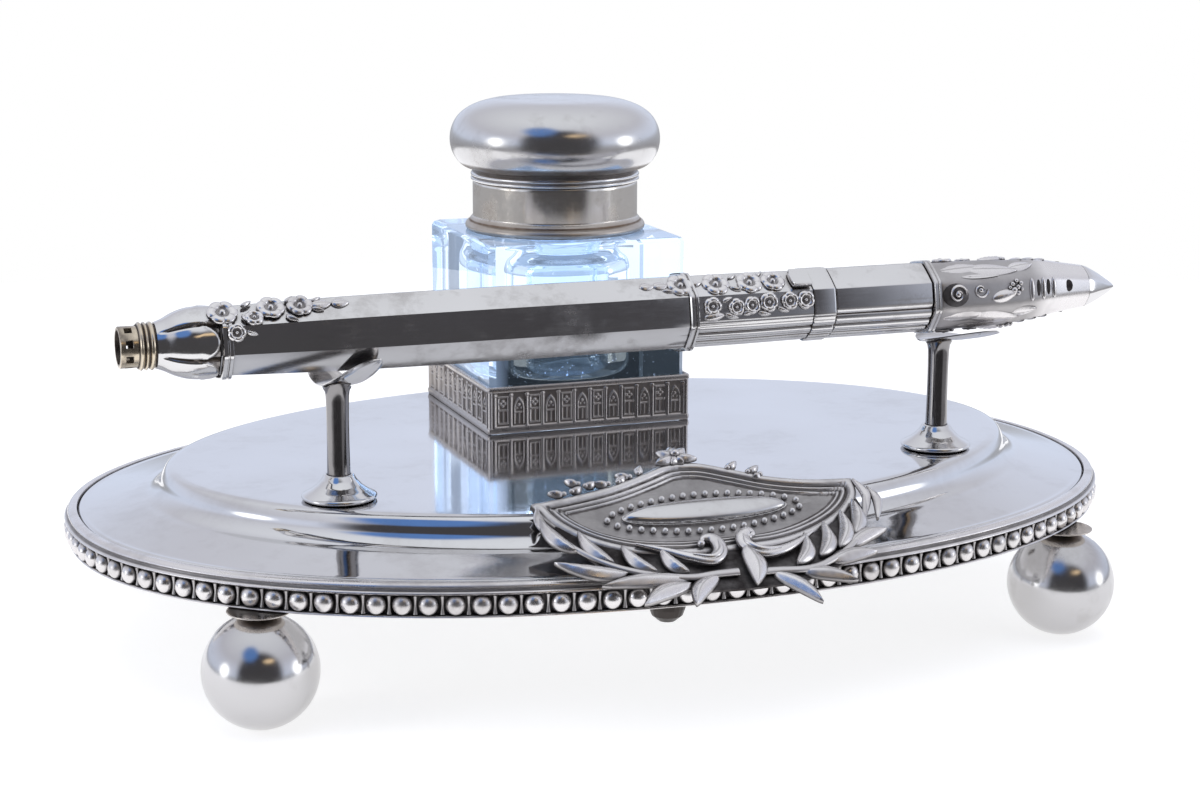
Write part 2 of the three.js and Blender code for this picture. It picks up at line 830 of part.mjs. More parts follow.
function finial() {
  const lift = cartouche.moulding + TURNED_GAP;
  const { peakX } = cartouche;
  const foot = cartouche.peakHeight - 0.6;
  const leaves = [90, 30, 150, 200, -20].map((turn) => leaf(peakX, foot, turn * DEGREE, 4.5, 2.4, 1.0, lift));
  return join(...leaves, leaf(peakX, foot - 1, 90 * DEGREE, 3, 2, 1.0, lift));
}

// The domed nut under the tray's rim that holds the cartouche's stud.
function cartoucheNut() {
  const top = tray.rimBottom - GAP;
  return turned([
    [0, top - 3.7],
    [1.6, top - 3.4],
    [2.9, top - 2.3],
    [3.4, top - 0.9],
    [3.4, top],
    [0, top],
  ], 20);
}

// ---- Assembly -------------------------------------------------------------

const group = new THREE.Group();
group.position.y = FRONT_REACH / 2;

group.add(piece('tray', trayShell(), silver));
group.add(piece('bead_border', beadBorder(), wornSilver));

for (const [end, sx] of [['left', -1], ['right', 1]]) {
  for (const [face, sy] of [['front', -1], ['rear', 1]]) {
    const ball = piece(`ball_foot_${face}_${end}`, footBall(), silver);
    const pad = piece(`foot_pad_${face}_${end}`, footPad(), wornSilver);
    group.add(placed(ball, sx * foot.x, sy * foot.y, 0));
    group.add(placed(pad, sx * foot.x, sy * foot.y, 0));
  }
}

const inkwell = placed(new THREE.Group(), well.x, well.y, 0);
inkwell.add(piece('gallery', gallery(), wornSilver));
inkwell.add(piece('inkwell_glass', glassBlock(), crystal));
inkwell.add(piece('neck_collar', neckCollar(), silver));
inkwell.add(piece('lid_seat_ring', lidSeatRing(), silver));
inkwell.add(piece('lid_dome', lidDome(), silver));
const hingeGroup = placed(new THREE.Group(), 0, hinge.back, hinge.height);
hingeGroup.add(piece('hinge_leaf_collar', hingeCollarLeaf(), wornSilver));
hingeGroup.add(piece('hinge_leaf_lid', hingeLidLeaf(), wornSilver));
hingeGroup.add(piece('hinge_pin', hingePin(), steel));
inkwell.add(hingeGroup);
group.add(inkwell);

for (const [end, sx] of [['left', -1], ['right', 1]]) {
  const stand = placed(new THREE.Group(), sx * rest.x, rest.y, 0);
  stand.add(piece(`pen_rest_flange_${end}`, restFlange(), silver));
  const columnTop = cradles[end].base + rest.cradleBend - rest.cradleThickness - 2 * GAP;
  stand.add(piece(`pen_rest_column_${end}`, restColumn(columnTop), silver));
  stand.add(piece(`pen_rest_nut_${end}`, restNut(), steel));
  stand.add(piece(`pen_rest_cradle_${end}`, cradle(cradles[end]), silver));
  group.add(stand);
}

const penGroup = placed(new THREE.Group(), 0, pen.y, pen.z);
penGroup.rotation.x = pen.roll;
penGroup.add(piece('pen_nib_socket', nibSocket(), silver));
penGroup.add(piece('pen_socket_collar', socketCollar(), wornSilver));
penGroup.add(piece('pen_shoulder', penShoulder(), silver));
penGroup.add(piece('pen_barrel', penBarrel(), silver));
penGroup.add(piece('pen_core', penCore(), darkWood));
for (const [place, { start, length, width, hole }] of Object.entries(bands)) {
  penGroup.add(piece(`pen_band_${place}`, octagonBand(start, start + length, width, hole), silver));
}
const collar = loft([
  octagon(pen.collarStart, pen.collarWidth),
  octagon(pen.flutedStart - GAP, pen.collarWidth),
]);
penGroup.add(piece('pen_ferrule_collar', collar, silver));
penGroup.add(piece('pen_fluted_barrel', flutedBarrel(), silver));
penGroup.add(piece('pen_band_scroll_end', endBand(), silver));
penGroup.add(piece('pen_scroll_end', scrollEnd(), wornSilver));
penGroup.add(piece('pen_tip', penTip(), silver));

// Flowers on the long faces: [place along the pen, offset up the face, radius].
const slopingFace = Math.PI / 4;
const frontFace = Math.PI / 2;
const faceDistance = pen.midWidth / 2;
const flowers = {
  nib_end: {
    face: slopingFace,
    row: [
      [-85.3, 0.4, 2.9], [-79.5, -1.6, 1.8], [-76.0, 0.9, 2.6],
      [-70.6, 1.0, 2.5], [-66.8, 1.0, 1.2], [-63.0, 1.0, 1.0],
    ],
  },
  before_band: { face: slopingFace, row: [[-2.4, 0.6, 1.0], [0.4, 0.6, 1.2], [2.7, 0.4, 2.4]] },
  top: { face: slopingFace, row: [[11.6, 0, 2.7], [18.7, 0, 2.7], [23.7, 0, 2.6]] },
  front: {
    face: frontFace,
    row: [
      [9.9, 0.6, 1.9], [14.9, 0.6, 1.6], [18.2, 0.6, 1.7],
      [21.8, 0.6, 1.7], [26.3, 0.6, 1.6], [29.9, 0.6, 1.4],
    ],
  },
};
for (const [place, { face, row }] of Object.entries(flowers)) {
  penGroup.add(piece(`pen_flowers_${place}`, flowerRun(row, faceDistance, face), wornSilver));
}
const facePlate = block(pen.collarStart - 4.6, pen.collarStart - 0.3, -2.2, 2.2, 0, 0.9);
facePlate.translate(0, 0, faceDistance + TURNED_GAP / 2);
facePlate.rotateX(slopingFace);
penGroup.add(piece('pen_face_plate', facePlate, silver));
group.add(penGroup);

const shield = placed(new THREE.Group(), 0, cartouche.footY, cartouche.footZ);
shield.rotation.x = cartouche.lean;
shield.add(piece('cartouche_plate', shieldPlate(), wornSilver));
shield.add(piece('cartouche_moulding', shieldMoulding(), wornSilver));
shield.add(piece('cartouche_boss', bossSolid(), silver));
shield.add(piece('cartouche_beading', bossBeading(), wornSilver));
shield.add(piece('cartouche_finial', finial(), wornSilver));
shield.add(piece('laurel_spray_left', laurelSpray(-1), wornSilver));
shield.add(piece('laurel_spray_right', laurelSpray(1), wornSilver));
shield.add(piece('cartouche_scroll_left', scroll(-1), wornSilver));
shield.add(piece('cartouche_scroll_right', scroll(1), wornSilver));
group.add(shield);
group.add(placed(piece('cartouche_nut', cartoucheNut(), steel), cartouche.nutX, cartouche.nutY, 0));

export default group;
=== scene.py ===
import math

import bmesh
import bpy
import numpy as np
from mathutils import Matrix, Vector


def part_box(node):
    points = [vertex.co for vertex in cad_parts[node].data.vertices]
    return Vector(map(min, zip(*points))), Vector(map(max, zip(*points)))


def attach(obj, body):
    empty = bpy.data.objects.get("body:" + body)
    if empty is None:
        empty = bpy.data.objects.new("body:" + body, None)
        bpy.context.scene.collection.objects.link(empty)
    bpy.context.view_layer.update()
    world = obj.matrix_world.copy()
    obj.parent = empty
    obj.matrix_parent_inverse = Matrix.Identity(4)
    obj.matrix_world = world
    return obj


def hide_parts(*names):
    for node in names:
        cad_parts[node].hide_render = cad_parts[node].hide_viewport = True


# Looks of a silver desk inkstand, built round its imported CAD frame. Shapes are
# worked out in millimetres about the middle of the tray, and build() puts them
# into the frame in metres.

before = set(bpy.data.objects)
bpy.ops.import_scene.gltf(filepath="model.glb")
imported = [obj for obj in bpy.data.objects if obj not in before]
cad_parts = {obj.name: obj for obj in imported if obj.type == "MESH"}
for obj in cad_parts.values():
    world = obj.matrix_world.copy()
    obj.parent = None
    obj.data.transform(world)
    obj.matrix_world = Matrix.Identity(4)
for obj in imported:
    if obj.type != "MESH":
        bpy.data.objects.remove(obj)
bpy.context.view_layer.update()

MM = 0.001
TAU = 2 * math.pi
TINY = 1e-4
scene = bpy.context.scene
tray_low, tray_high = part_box("tray")
CENTRE = Vector(((tray_low.x + tray_high.x) / 2, (tray_low.y + tray_high.y) / 2, 0.0))


def span(node):
    """Lowest and highest corner of a CAD node in millimetres about the tray's middle."""
    low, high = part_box(node)
    return np.array((low - CENTRE) / MM), np.array((high - CENTRE) / MM)


# ---- Camera -----------------------------------------------------------------

camera_data = bpy.data.cameras.new("camera")
camera_data.sensor_width = 36.0
camera_data.lens = 71.7
camera = bpy.data.objects.new("camera", camera_data)
camera.location = CENTRE + Vector((-0.1685, -0.4571, 0.1509))
camera.rotation_euler = (math.radians(77.68), math.radians(-0.17), math.radians(-20.27))
scene.collection.objects.link(camera)
scene.camera = camera
scene.view_settings.view_transform = "Standard"


# ---- Mesh toolkit -----------------------------------------------------------


class Part:
    """Points in millimetres, four-cornered faces, and how far each point lies in a recess, 0 to 1, which
    darkens its colour with patina and painted shade.
    """

    def __init__(self, points, quads, recess=None):
        self.points = np.asarray(points, float).reshape(-1, 3)
        self.quads = np.asarray(quads, int).reshape(-1, 4)
        depth = np.zeros(len(self.points)) if recess is None else recess
        self.recess = np.asarray(depth, float).reshape(-1)

    def moved(self, x=0.0, y=0.0, z=0.0):
        return Part(self.points + np.array([x, y, z]), self.quads, self.recess)

    def scaled(self, x=1.0, y=1.0, z=1.0):
        return Part(self.points * np.array([x, y, z]), self.quads, self.recess)

    def turned(self, angle, axis):
        """Turned about one of the axes 0, 1, 2 through the origin."""
        first, second = [(1, 2), (2, 0), (0, 1)][axis]
        points = self.points.copy()
        c, s = math.cos(angle), math.sin(angle)
        points[:, first] = self.points[:, first] * c - self.points[:, second] * s
        points[:, second] = self.points[:, first] * s + self.points[:, second] * c
        return Part(points, self.quads, self.recess)

    def shaped(self, function):
        """Each point put through function(x, y, z) -> (x, y, z) arrays."""
        x, y, z = function(*self.points.T)
        return Part(np.stack(np.broadcast_arrays(x, y, z), axis=-1), self.quads, self.recess)


def together(parts):
    points, quads, recess, start = [], [], [], 0
    for p in parts:
        points.append(p.points)
        quads.append(p.quads + start)
        recess.append(p.recess)
        start += len(p.points)
    return Part(np.concatenate(points), np.concatenate(quads), np.concatenate(recess))


def skin(rows, recess=None, loop=False, capped=False):
    """Skins closed rows of points. loop joins the last row to the first, capped closes both ends."""
    rows = np.asarray(rows, float)
    depth = np.zeros(rows.shape[:2]) if recess is None else np.broadcast_to(recess, rows.shape[:2])
    if capped:
        ends = [np.broadcast_to(rows[i].mean(axis=0), rows[i].shape)[None] for i in (0, -1)]
        rows = np.concatenate([ends[0], rows, ends[1]])
        depth = np.concatenate([depth[:1], depth, depth[-1:]])
    count, columns = rows.shape[:2]
    i = np.arange(count if loop else count - 1)[:, None]
    j = np.arange(columns)[None, :]
    this_row, next_row = i * columns, (i + 1) % count * columns
    next_j = (j + 1) % columns
    corners = np.broadcast_arrays(this_row + j, this_row + next_j, next_row + next_j, next_row + j)
    return Part(rows, np.stack(corners, axis=-1), depth)


def at_level(outline, z):
    """A flat outline laid at a height."""
    return np.column_stack([outline, np.full(len(outline), z)])


def along_x(outline, x):
    """An outline of the cross plane stood at a place along the pen."""
    return np.column_stack([np.full(len(outline), x), outline])


def smooth_curve(points, steps=6):
    """A smooth run through the given points, of any dimension."""
    p = np.asarray(points, float)
    gaps = np.linalg.norm(np.diff(p, axis=0), axis=1)
    t = np.concatenate([[0.0], np.cumsum(np.maximum(gaps, 1e-6) ** 0.5)])
    slope = np.gradient(p, t, axis=0)
    s = np.linspace(0, 1, steps, endpoint=False)[:, None]
    out = []
    for i in range(len(p) - 1):
        h = t[i + 1] - t[i]
        near = (2 * s**3 - 3 * s**2 + 1) * p[i] + (s**3 - 2 * s**2 + s) * h * slope[i]
        out.append(near + (-2 * s**3 + 3 * s**2) * p[i + 1] + (s**3 - s**2) * h * slope[i + 1])
    out.append(p[-1:])
    return np.concatenate(out)


def fillet(points, radius, steps=3, closed=False):
    """A polyline with each corner taken off by a small curve."""
    p = np.asarray(points, float)
    n = len(p)
    out = []
    for i in range(n):
        if not closed and i in (0, n - 1):
            out.append(p[i][None])
            continue
        before, here, after = p[i - 1], p[i], p[(i + 1) % n]
        a, b = before - here, after - here
        la, lb = np.linalg.norm(a), np.linalg.norm(b)
        if la < 1e-9 or lb < 1e-9:
            out.append(here[None])
            continue
        start = here + a / la * min(radius, 0.45 * la)
        end = here + b / lb * min(radius, 0.45 * lb)
        s = np.linspace(0, 1, steps + 1)[:, None]
        out.append((1 - s) ** 2 * start + 2 * s * (1 - s) * here + s**2 * end)
    return np.concatenate(out)


def lathe(profile, sides=96, axis=2, recess=None, loop=False):
    """A turned solid from [radius, place] pairs, about axis 0 (along the pen) or 2 (upright)."""
    profile = np.asarray(profile, float)
    angles = TAU * np.arange(sides) / sides
    x = np.outer(profile[:, 0], np.cos(angles))
    y = np.outer(profile[:, 0], np.sin(angles))
    z = np.repeat(profile[:, 1:2], sides, axis=1)
    rows = np.stack([z, x, y] if axis == 0 else [x, y, z], axis=-1)
    depth = None if recess is None else np.repeat(np.asarray(recess, float)[:, None], sides, axis=1)
    return skin(rows, depth, loop=loop)


def ellipsoid(rx, ry, rz, columns=16, rows=10):
    angles = np.linspace(-math.pi / 2, math.pi / 2, rows + 1)
    ball = lathe(np.stack([np.cos(angles).round(12), np.sin(angles)], axis=-1), columns)
    return ball.scaled(rx, ry, rz)


def sweep(path, widths, heights, sides):
    """A rounded bar along a path in a level plane, of the given half widths and half heights."""
    up = np.array([0.0, 0.0, 1.0])
    n = len(path)
    along = np.gradient(path, axis=0)
    along /= np.maximum(np.linalg.norm(along, axis=1), 1e-9)[:, None]
    side = np.cross(up, along)
    side /= np.maximum(np.linalg.norm(side, axis=1), 1e-9)[:, None]
    widths = np.broadcast_to(np.asarray(widths, float), n)
    heights = np.broadcast_to(np.asarray(heights, float), n)
    angles = TAU * np.arange(sides) / sides
    sideways = side[:, None] * (widths[:, None] * np.cos(angles))[..., None]
    upwards = up * (heights[:, None] * np.sin(angles))[..., None]
    return skin(path[:, None] + sideways + upwards, capped=True)


def ramp(low, high, value):
    """0 below low, 1 above high, smooth between."""
    t = np.clip((value - low) / (high - low), 0.0, 1.0)
    return t * t * (3 - 2 * t)


def ridge(distance, half_width):
    """A rounded ridge of height 1 where distance is 0."""
    return np.sqrt(np.clip(1 - (distance / half_width) ** 2, 0.0, 1.0))


MERGE_DISTANCE, SLIVER = 2e-6, 1e-7


def build(name, part, material, body, slot, nodes=(), sharp=35.0, weighted=True):
    """Makes a piece from a part, smooth except where faces meet at more than the sharp angle."""
    mesh = bpy.data.meshes.new(name)
    points = part.points * MM + np.array(CENTRE)
    mesh.from_pydata(points.tolist(), [], part.quads.tolist())
    depth = mesh.attributes.new("recess", "FLOAT", "POINT")
    depth.data.foreach_set("value", part.recess.astype(np.float32))
    bm = bmesh.new()
    bm.from_mesh(mesh)
    bmesh.ops.remove_doubles(bm, verts=bm.verts, dist=MERGE_DISTANCE)
    bmesh.ops.dissolve_degenerate(bm, dist=SLIVER, edges=bm.edges)
    loose = [v for v in bm.verts if not v.link_faces]
    bmesh.ops.delete(bm, geom=loose, context="VERTS")
    bmesh.ops.recalc_face_normals(bm, faces=bm.faces)
    bm.to_mesh(mesh)
    bm.free()
    mesh.shade_smooth()
    mesh.set_sharp_from_angle(angle=math.radians(sharp))
    mesh.materials.append(material)
    piece = bpy.data.objects.new(name, mesh)
    scene.collection.objects.link(piece)
    if weighted:
        shading = piece.modifiers.new("shading", "WEIGHTED_NORMAL")
        shading.keep_sharp = True
    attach(piece, body)
    if nodes:
        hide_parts(*nodes)
    return piece


# ---- Materials --------------------------------------------------------------


class Graph:
    """A short way to write a material's nodes."""

    def __init__(self, name):
        self.material = bpy.data.materials.new(name)
        self.material.use_nodes = True
        self.tree = self.material.node_tree
        self.shader = self.tree.nodes["Principled BSDF"]
        self.place = self.node("ShaderNodeTexCoord").outputs["Object"]

    def node(self, kind, **settings):
        made = self.tree.nodes.new(kind)
        for key, value in settings.items():
            setattr(made, key, value)
        return made

    def link(self, source, target):
        self.tree.links.new(source, target)

    def put(self, socket, value):
        if isinstance(value, bpy.types.NodeSocket):
            self.link(value, socket)
        else:
            socket.default_value = value

    def noise(self, scale, detail=3.0, roughness=0.55, stretch=None):
        made = self.node("ShaderNodeTexNoise")
        made.inputs["Scale"].default_value = scale
        made.inputs["Detail"].default_value = detail
        made.inputs["Roughness"].default_value = roughness
        place = self.place
        if stretch is not None:
            mapping = self.node("ShaderNodeMapping")
            mapping.inputs["Scale"].default_value = stretch
            self.link(self.place, mapping.inputs["Vector"])
            place = mapping.outputs["Vector"]
        self.link(place, made.inputs["Vector"])
        return made.outputs["Fac"]

    def ranged(self, value, low, high, to_low=0.0, to_high=1.0):
        made = self.node("ShaderNodeMapRange")
        made.clamp = True
        self.put(made.inputs["Value"], value)
        for name, number in (("From Min", low), ("From Max", high), ("To Min", to_low),
                             ("To Max", to_high)):
            made.inputs[name].default_value = number
        return made.outputs["Result"]

    def sum(self, operation, a, b, clamp=False):
        made = self.node("ShaderNodeMath", operation=operation, use_clamp=clamp)
        self.put(made.inputs[0], a)
        self.put(made.inputs[1], b)
        return made.outputs[0]

    def mix(self, factor, a, b):
        made = self.node("ShaderNodeMix", data_type="RGBA")
        self.put(made.inputs["Factor"], factor)
        self.put(made.inputs["A"], a)
        self.put(made.inputs["B"], b)
        return made.outputs["Result"]

    def bump(self, height, distance, strength=1.0, under=None):
        made = self.node("ShaderNodeBump")
        made.inputs["Strength"].default_value = strength
        made.inputs["Distance"].default_value = distance
        self.link(height, made.inputs["Height"])
        if under is not None:
            self.link(under, made.inputs["Normal"])
        return made.outputs["Normal"]


# In metres: how far the painted ambient-occlusion shade reaches into a hollow, and how deep the surface marks
# are.
SHADE_REACH = 0.0016
HAIRLINE_DEPTH, WAVE_DEPTH, HAMMER_DEPTH = 0.00001, 0.0006, 0.00012


def silver(name, bright, shade, rough, patina_and_shade=0.6, occlusion_shade=0.0, blotch=0.0, stain_and_shade_colour=(0.09, 0.065, 0.05, 1),
           wave=0.0, hammer=0.0, streak=(1, 1, 1)):
    """Silver with uneven polish, hairline wipe marks and soft stains in blotches; its recesses are darkened
    with patina and painted shade, and an ambient occlusion node can paint more shade into hollows.
    """
    g = Graph(name)
    broad = g.noise(28.0, 2.0)
    patchy = g.noise(150.0, 5.0, 0.65)
    fine = g.noise(1400.0, 4.0, 0.7, streak)
    recess = g.node("ShaderNodeAttribute", attribute_name="recess").outputs["Fac"]
    # Patina and painted shade: the recess weight darkens the colour towards the dark recess colour.
    patina_shade_mask = g.sum("MULTIPLY", g.ranged(recess, 0.15, 0.95), patina_and_shade)
    if occlusion_shade > 0:
        # Painted shade: ambient occlusion darkens the colour where nearby surfaces hide the light.
        shade_node = g.node("ShaderNodeAmbientOcclusion", samples=6)
        shade_node.inputs["Distance"].default_value = SHADE_REACH
        deep = g.ranged(shade_node.outputs["AO"], 0.25, 0.85, occlusion_shade, 0.0)
        patina_shade_mask = g.sum("MAXIMUM", patina_shade_mask, deep)
    patina_shade_mask = g.sum("MULTIPLY", patina_shade_mask, g.ranged(patchy, 0.2, 0.6, 0.72, 1.0))
    if blotch > 0:
        spots = g.ranged(g.sum("ADD", g.sum("MULTIPLY", broad, 0.45), g.sum("MULTIPLY", patchy, 0.6)), 0.54,
                         0.68)
        patina_shade_mask = g.sum("MAXIMUM", patina_shade_mask, g.sum("MULTIPLY", spots, blotch), True)
    clean = g.mix(g.ranged(broad, 0.3, 0.7), bright, shade)
    g.link(g.mix(patina_shade_mask, clean, stain_and_shade_colour), g.shader.inputs["Base Color"])
    g.shader.inputs["Metallic"].default_value = 1.0
    uneven = g.sum("ADD", g.ranged(patchy, 0.25, 0.75, rough * 0.75, rough * 1.35),
                   g.sum("MULTIPLY", patina_shade_mask, 0.4))
    g.link(g.sum("ADD", uneven, g.ranged(fine, 0.45, 0.8, 0.0, 0.07), True), g.shader.inputs["Roughness"])
    normal = g.bump(fine, HAIRLINE_DEPTH, 0.12)
    if wave > 0:
        normal = g.bump(g.noise(22.0, 1.0), WAVE_DEPTH, wave, normal)
    if hammer > 0:
        normal = g.bump(g.noise(900.0, 2.0), HAMMER_DEPTH, hammer, normal)
    g.link(normal, g.shader.inputs["Normal"])
    return g.material


polished = silver("polished_silver", (0.75, 0.75, 0.765, 1), (0.69, 0.685, 0.69, 1), 0.06, 0.6, wave=0.10,
                  blotch=0.1,
                  stain_and_shade_colour=(0.2, 0.15, 0.12, 1))
satin = silver("satin_silver", (0.71, 0.70, 0.70, 1), (0.64, 0.63, 0.63, 1), 0.17, 0.85, occlusion_shade=0.35,
               blotch=0.2,
               stain_and_shade_colour=(0.16, 0.12, 0.09, 1))
turned_silver = silver("turned_silver", (0.78, 0.775, 0.78, 1), (0.70, 0.69, 0.69, 1), 0.09, 0.75,
                       occlusion_shade=0.35)
stained = silver("stained_silver", (0.86, 0.83, 0.79, 1), (0.78, 0.74, 0.68, 1), 0.12, 0.95, occlusion_shade=0.8,
                 blotch=0.6,
                 stain_and_shade_colour=(0.16, 0.10, 0.06, 1))
# Its near-black recess colour is patina and painted shade.
worked = silver("worked_silver", (0.84, 0.815, 0.81, 1), (0.72, 0.69, 0.685, 1), 0.25, 0.97, occlusion_shade=1.0,
                blotch=0.2,
                stain_and_shade_colour=(0.03, 0.024, 0.024, 1))
chased = silver("chased_silver", (0.76, 0.74, 0.74, 1), (0.64, 0.62, 0.615, 1), 0.3, 0.9, occlusion_shade=0.9,
                blotch=0.3,
                stain_and_shade_colour=(0.09, 0.075, 0.07, 1), hammer=0.5)
pierced = silver("gallery_silver", (0.54, 0.505, 0.485, 1), (0.43, 0.395, 0.375, 1), 0.26, 0.75, occlusion_shade=0.5,
                 blotch=0.3,
                 stain_and_shade_colour=(0.125, 0.10, 0.085, 1))
# Painted shade and reflection: the rest columns are coloured dark for the shade and dark surroundings they
# show.
shadowed = silver("shadowed_silver", (0.34, 0.33, 0.33, 1), (0.25, 0.24, 0.24, 1), 0.12, 0.8, occlusion_shade=0.5)
# Painted shade: the nut under the cartouche is coloured near-black for the shade it sits in.
painted_shade_black = silver("painted_shade_steel", (0.07, 0.062, 0.058, 1), (0.04, 0.035, 0.033, 1), 0.3, 0.8)
ball_silver = silver("ball_silver", (0.62, 0.61, 0.615, 1), (0.56, 0.55, 0.555, 1), 0.15, 0.85, blotch=0.15,
                     stain_and_shade_colour=(0.16, 0.12, 0.09, 1))
relief = silver("relief_silver", (0.84, 0.82, 0.81, 1), (0.74, 0.71, 0.70, 1), 0.22, 0.85, occlusion_shade=0.7,
                blotch=0.15,
                stain_and_shade_colour=(0.07, 0.055, 0.05, 1))
pearl = silver("pearl_silver", (0.90, 0.885, 0.88, 1), (0.82, 0.80, 0.79, 1), 0.42, 0.8, occlusion_shade=0.3)
gilt = silver("gilt_socket", (0.78, 0.68, 0.52, 1), (0.60, 0.52, 0.42, 1), 0.12, 0.95, occlusion_shade=0.9,
              blotch=0.75,
              stain_and_shade_colour=(0.05, 0.04, 0.045, 1))
pen_silver = silver("pen_silver", (0.77, 0.76, 0.76, 1), (0.68, 0.665, 0.66, 1), 0.11, 0.95, occlusion_shade=0.6,
                    blotch=0.35,
                    stain_and_shade_colour=(0.14, 0.11, 0.09, 1), streak=(0.15, 2, 2))


def steel_material():
    g = Graph("nut_steel")
    grain = g.noise(700.0, 4.0, 0.6, (1, 1, 4))
    g.link(g.mix(g.ranged(g.noise(160.0), 0.35, 0.7), (0.42, 0.41, 0.40, 1), (0.27, 0.24, 0.21, 1)),
           g.shader.inputs["Base Color"])
    g.link(g.ranged(grain, 0.3, 0.7, 0.28, 0.5), g.shader.inputs["Roughness"])
    g.shader.inputs["Metallic"].default_value = 1.0
    g.link(g.bump(grain, 0.00003, 0.4), g.shader.inputs["Normal"])
    return g.material


def wood_material():
    g = Graph("core_wood")
    grain = g.noise(260.0, 5.0, 0.6, (0.08, 1, 1))
    g.link(g.mix(grain, (0.09, 0.045, 0.02, 1), (0.24, 0.13, 0.06, 1)), g.shader.inputs["Base Color"])
    g.link(g.ranged(grain, 0.3, 0.7, 0.55, 0.75), g.shader.inputs["Roughness"])
    g.link(g.bump(grain, 0.00008, 0.6), g.shader.inputs["Normal"])
    return g.material


def glass_material():
    g = Graph("cut_glass")
    smear = g.noise(90.0, 4.0, 0.6, (1, 1, 0.4))
    clear = g.mix(g.ranged(smear, 0.4, 0.7), (0.74, 0.85, 0.98, 1), (0.70, 0.82, 0.965, 1))
    # Painted shade: a near-black colour with light flecks, used where the glass is marked dark.
    specks = g.ranged(g.noise(1500.0, 1.0), 0.7, 0.76)
    painted_shade_colour = g.mix(specks, (0.035, 0.04, 0.038, 1), (0.8, 0.85, 0.9, 1))
    shaded = g.node("ShaderNodeAttribute", attribute_name="recess").outputs["Fac"]
    g.link(g.mix(shaded, clear, painted_shade_colour), g.shader.inputs["Base Color"])
    # Painted light: the glass glows faintly blue through emission, except in the painted dark band.
    g.link(g.mix(shaded, (0.55, 0.72, 1.0, 1), (0.0, 0.0, 0.0, 1)), g.shader.inputs["Emission Color"])
    g.link(g.ranged(smear, 0.45, 0.8, 0.0, 0.05), g.shader.inputs["Roughness"])
    g.shader.inputs["Transmission Weight"].default_value = 1.0
    g.shader.inputs["IOR"].default_value = 1.5
    g.shader.inputs["Emission Strength"].default_value = 0.12
    g.link(g.bump(g.noise(60.0, 1.0), 0.0002, 0.06), g.shader.inputs["Normal"])
    return g.material


steel = steel_material()
wood = wood_material()
glass = glass_material()

# ---- Tray -------------------------------------------------------------------

OVAL_COLUMNS = 384
RIM_POWER = 2.14
PLATEAU_POWER = 1.96
PLATEAU_HALF_LENGTH, PLATEAU_HALF_WIDTH = 88.1, 57.4
SHEET = 1.0
BEAD_COUNT = 124
rim_low, rim_high = span("bead_border")
HALF_LENGTH = rim_high[0]
HALF_WIDTH = rim_high[1]
RIM_BOTTOM = rim_low[2]
PLATEAU_TOP = span("tray")[1][2]


def superellipse(a, b, power, angles):
    c, s = np.cos(angles), np.sin(angles)
    x = a * np.sign(c) * np.abs(c) ** (2 / power)
    y = b * np.sign(s) * np.abs(s) ** (2 / power)
    return x, y


def even_angles(a, b, power, count, fine=20000):
    """Angles that put points an even distance apart along an oval."""
    angles = TAU * np.arange(fine + 1) / fine
    x, y = superellipse(a, b, power, angles)
    run = np.concatenate([[0.0], np.cumsum(np.hypot(np.diff(x), np.diff(y)))])
    return np.interp(run[-1] * np.arange(count) / count, run, angles)


oval_angles = even_angles(HALF_LENGTH, HALF_WIDTH, RIM_POWER, OVAL_COLUMNS)


def oval_row(a, b, power, z):
    return at_level(np.column_stack(superellipse(a, b, power, oval_angles)), z)


def make_tray():
    skirt_a, skirt_b = HALF_LENGTH - 2.9, HALF_WIDTH - 2.9
    top = PLATEAU_TOP

    def plateau(level, shares):
        return [(PLATEAU_HALF_LENGTH * s, PLATEAU_HALF_WIDTH * s, PLATEAU_POWER, level) for s in shares]

    cove = [
        (87.2, 56.5, 1.96, top), (88.5, 57.8, 1.96, top - 0.08), (89.7, 59.0, 1.96, top - 0.5),
        (90.6, 59.9, 1.96, top - 1.8), (91.3, 60.5, 1.96, top - 3.4), (93.1, 62.0, 1.96, top - 5.0),
        (96.1, 64.2, 1.97, top - 5.75), (101.6, 68.3, 2.06, top - 6.95), (105.6, 71.2, 2.12, top - 7.75),
    ]
    rim = [(105.6, 71.2, 2.12, top - 7.75), (106.6, 71.9, 2.14, top - 7.85), (107.1, 72.3, 2.14, top - 8.4)]
    skirt_steps = [(0, 25.0), (0, 22.5), (0.2, 22.3), (4.9, 22.3), (5, 22.4), (5, 23.2), (4.9, 23.3),
                   (1, 23.3), (1, 27.4)]
    skirt = [(skirt_a - inset, skirt_b - inset, RIM_POWER, z) for inset, z in skirt_steps]
    under = [
        (106.1, 71.3, 2.14, 27.5), (101.2, 67.9, 2.06, 28.55), (96.1, 64.2, 1.97, 29.7),
        (91.9, 60.9, 1.96, 30.5),
        (90.2, 59.5, 1.96, 32.4), (89.5, 58.8, 1.96, 34.4), (87.9, 57.2, 1.96, 35.35),
        (85.4, 54.9, 1.96, 35.4),
    ]
    upper_side = [plateau(top, (TINY, 0.25, 0.5, 0.75, 0.9, 0.97)), smooth_curve(cove, 7),
                  smooth_curve(rim, 4)]
    lower_side = [smooth_curve(under, 5), plateau(top - SHEET, (0.75, 0.5, 0.25, TINY))]
    rings = np.concatenate([*upper_side, skirt, *lower_side])
    return skin([oval_row(*ring) for ring in rings])


build("tray_sheet", make_tray(), polished, "stand", "silver_polished", ["tray"])


def along_oval(a, b, power, count, shift=0.0, fine=4000, reach=3):
    """Places and headings evenly spread along an oval."""
    x, y = superellipse(a, b, power, even_angles(a, b, power, fine))
    index = ((np.arange(count) + shift) * fine / count).astype(int) % fine
    dx = np.roll(x, -reach) - np.roll(x, reach)
    dy = np.roll(y, -reach) - np.roll(y, reach)
    return np.column_stack([x, y, np.arctan2(dy, dx)])[index]


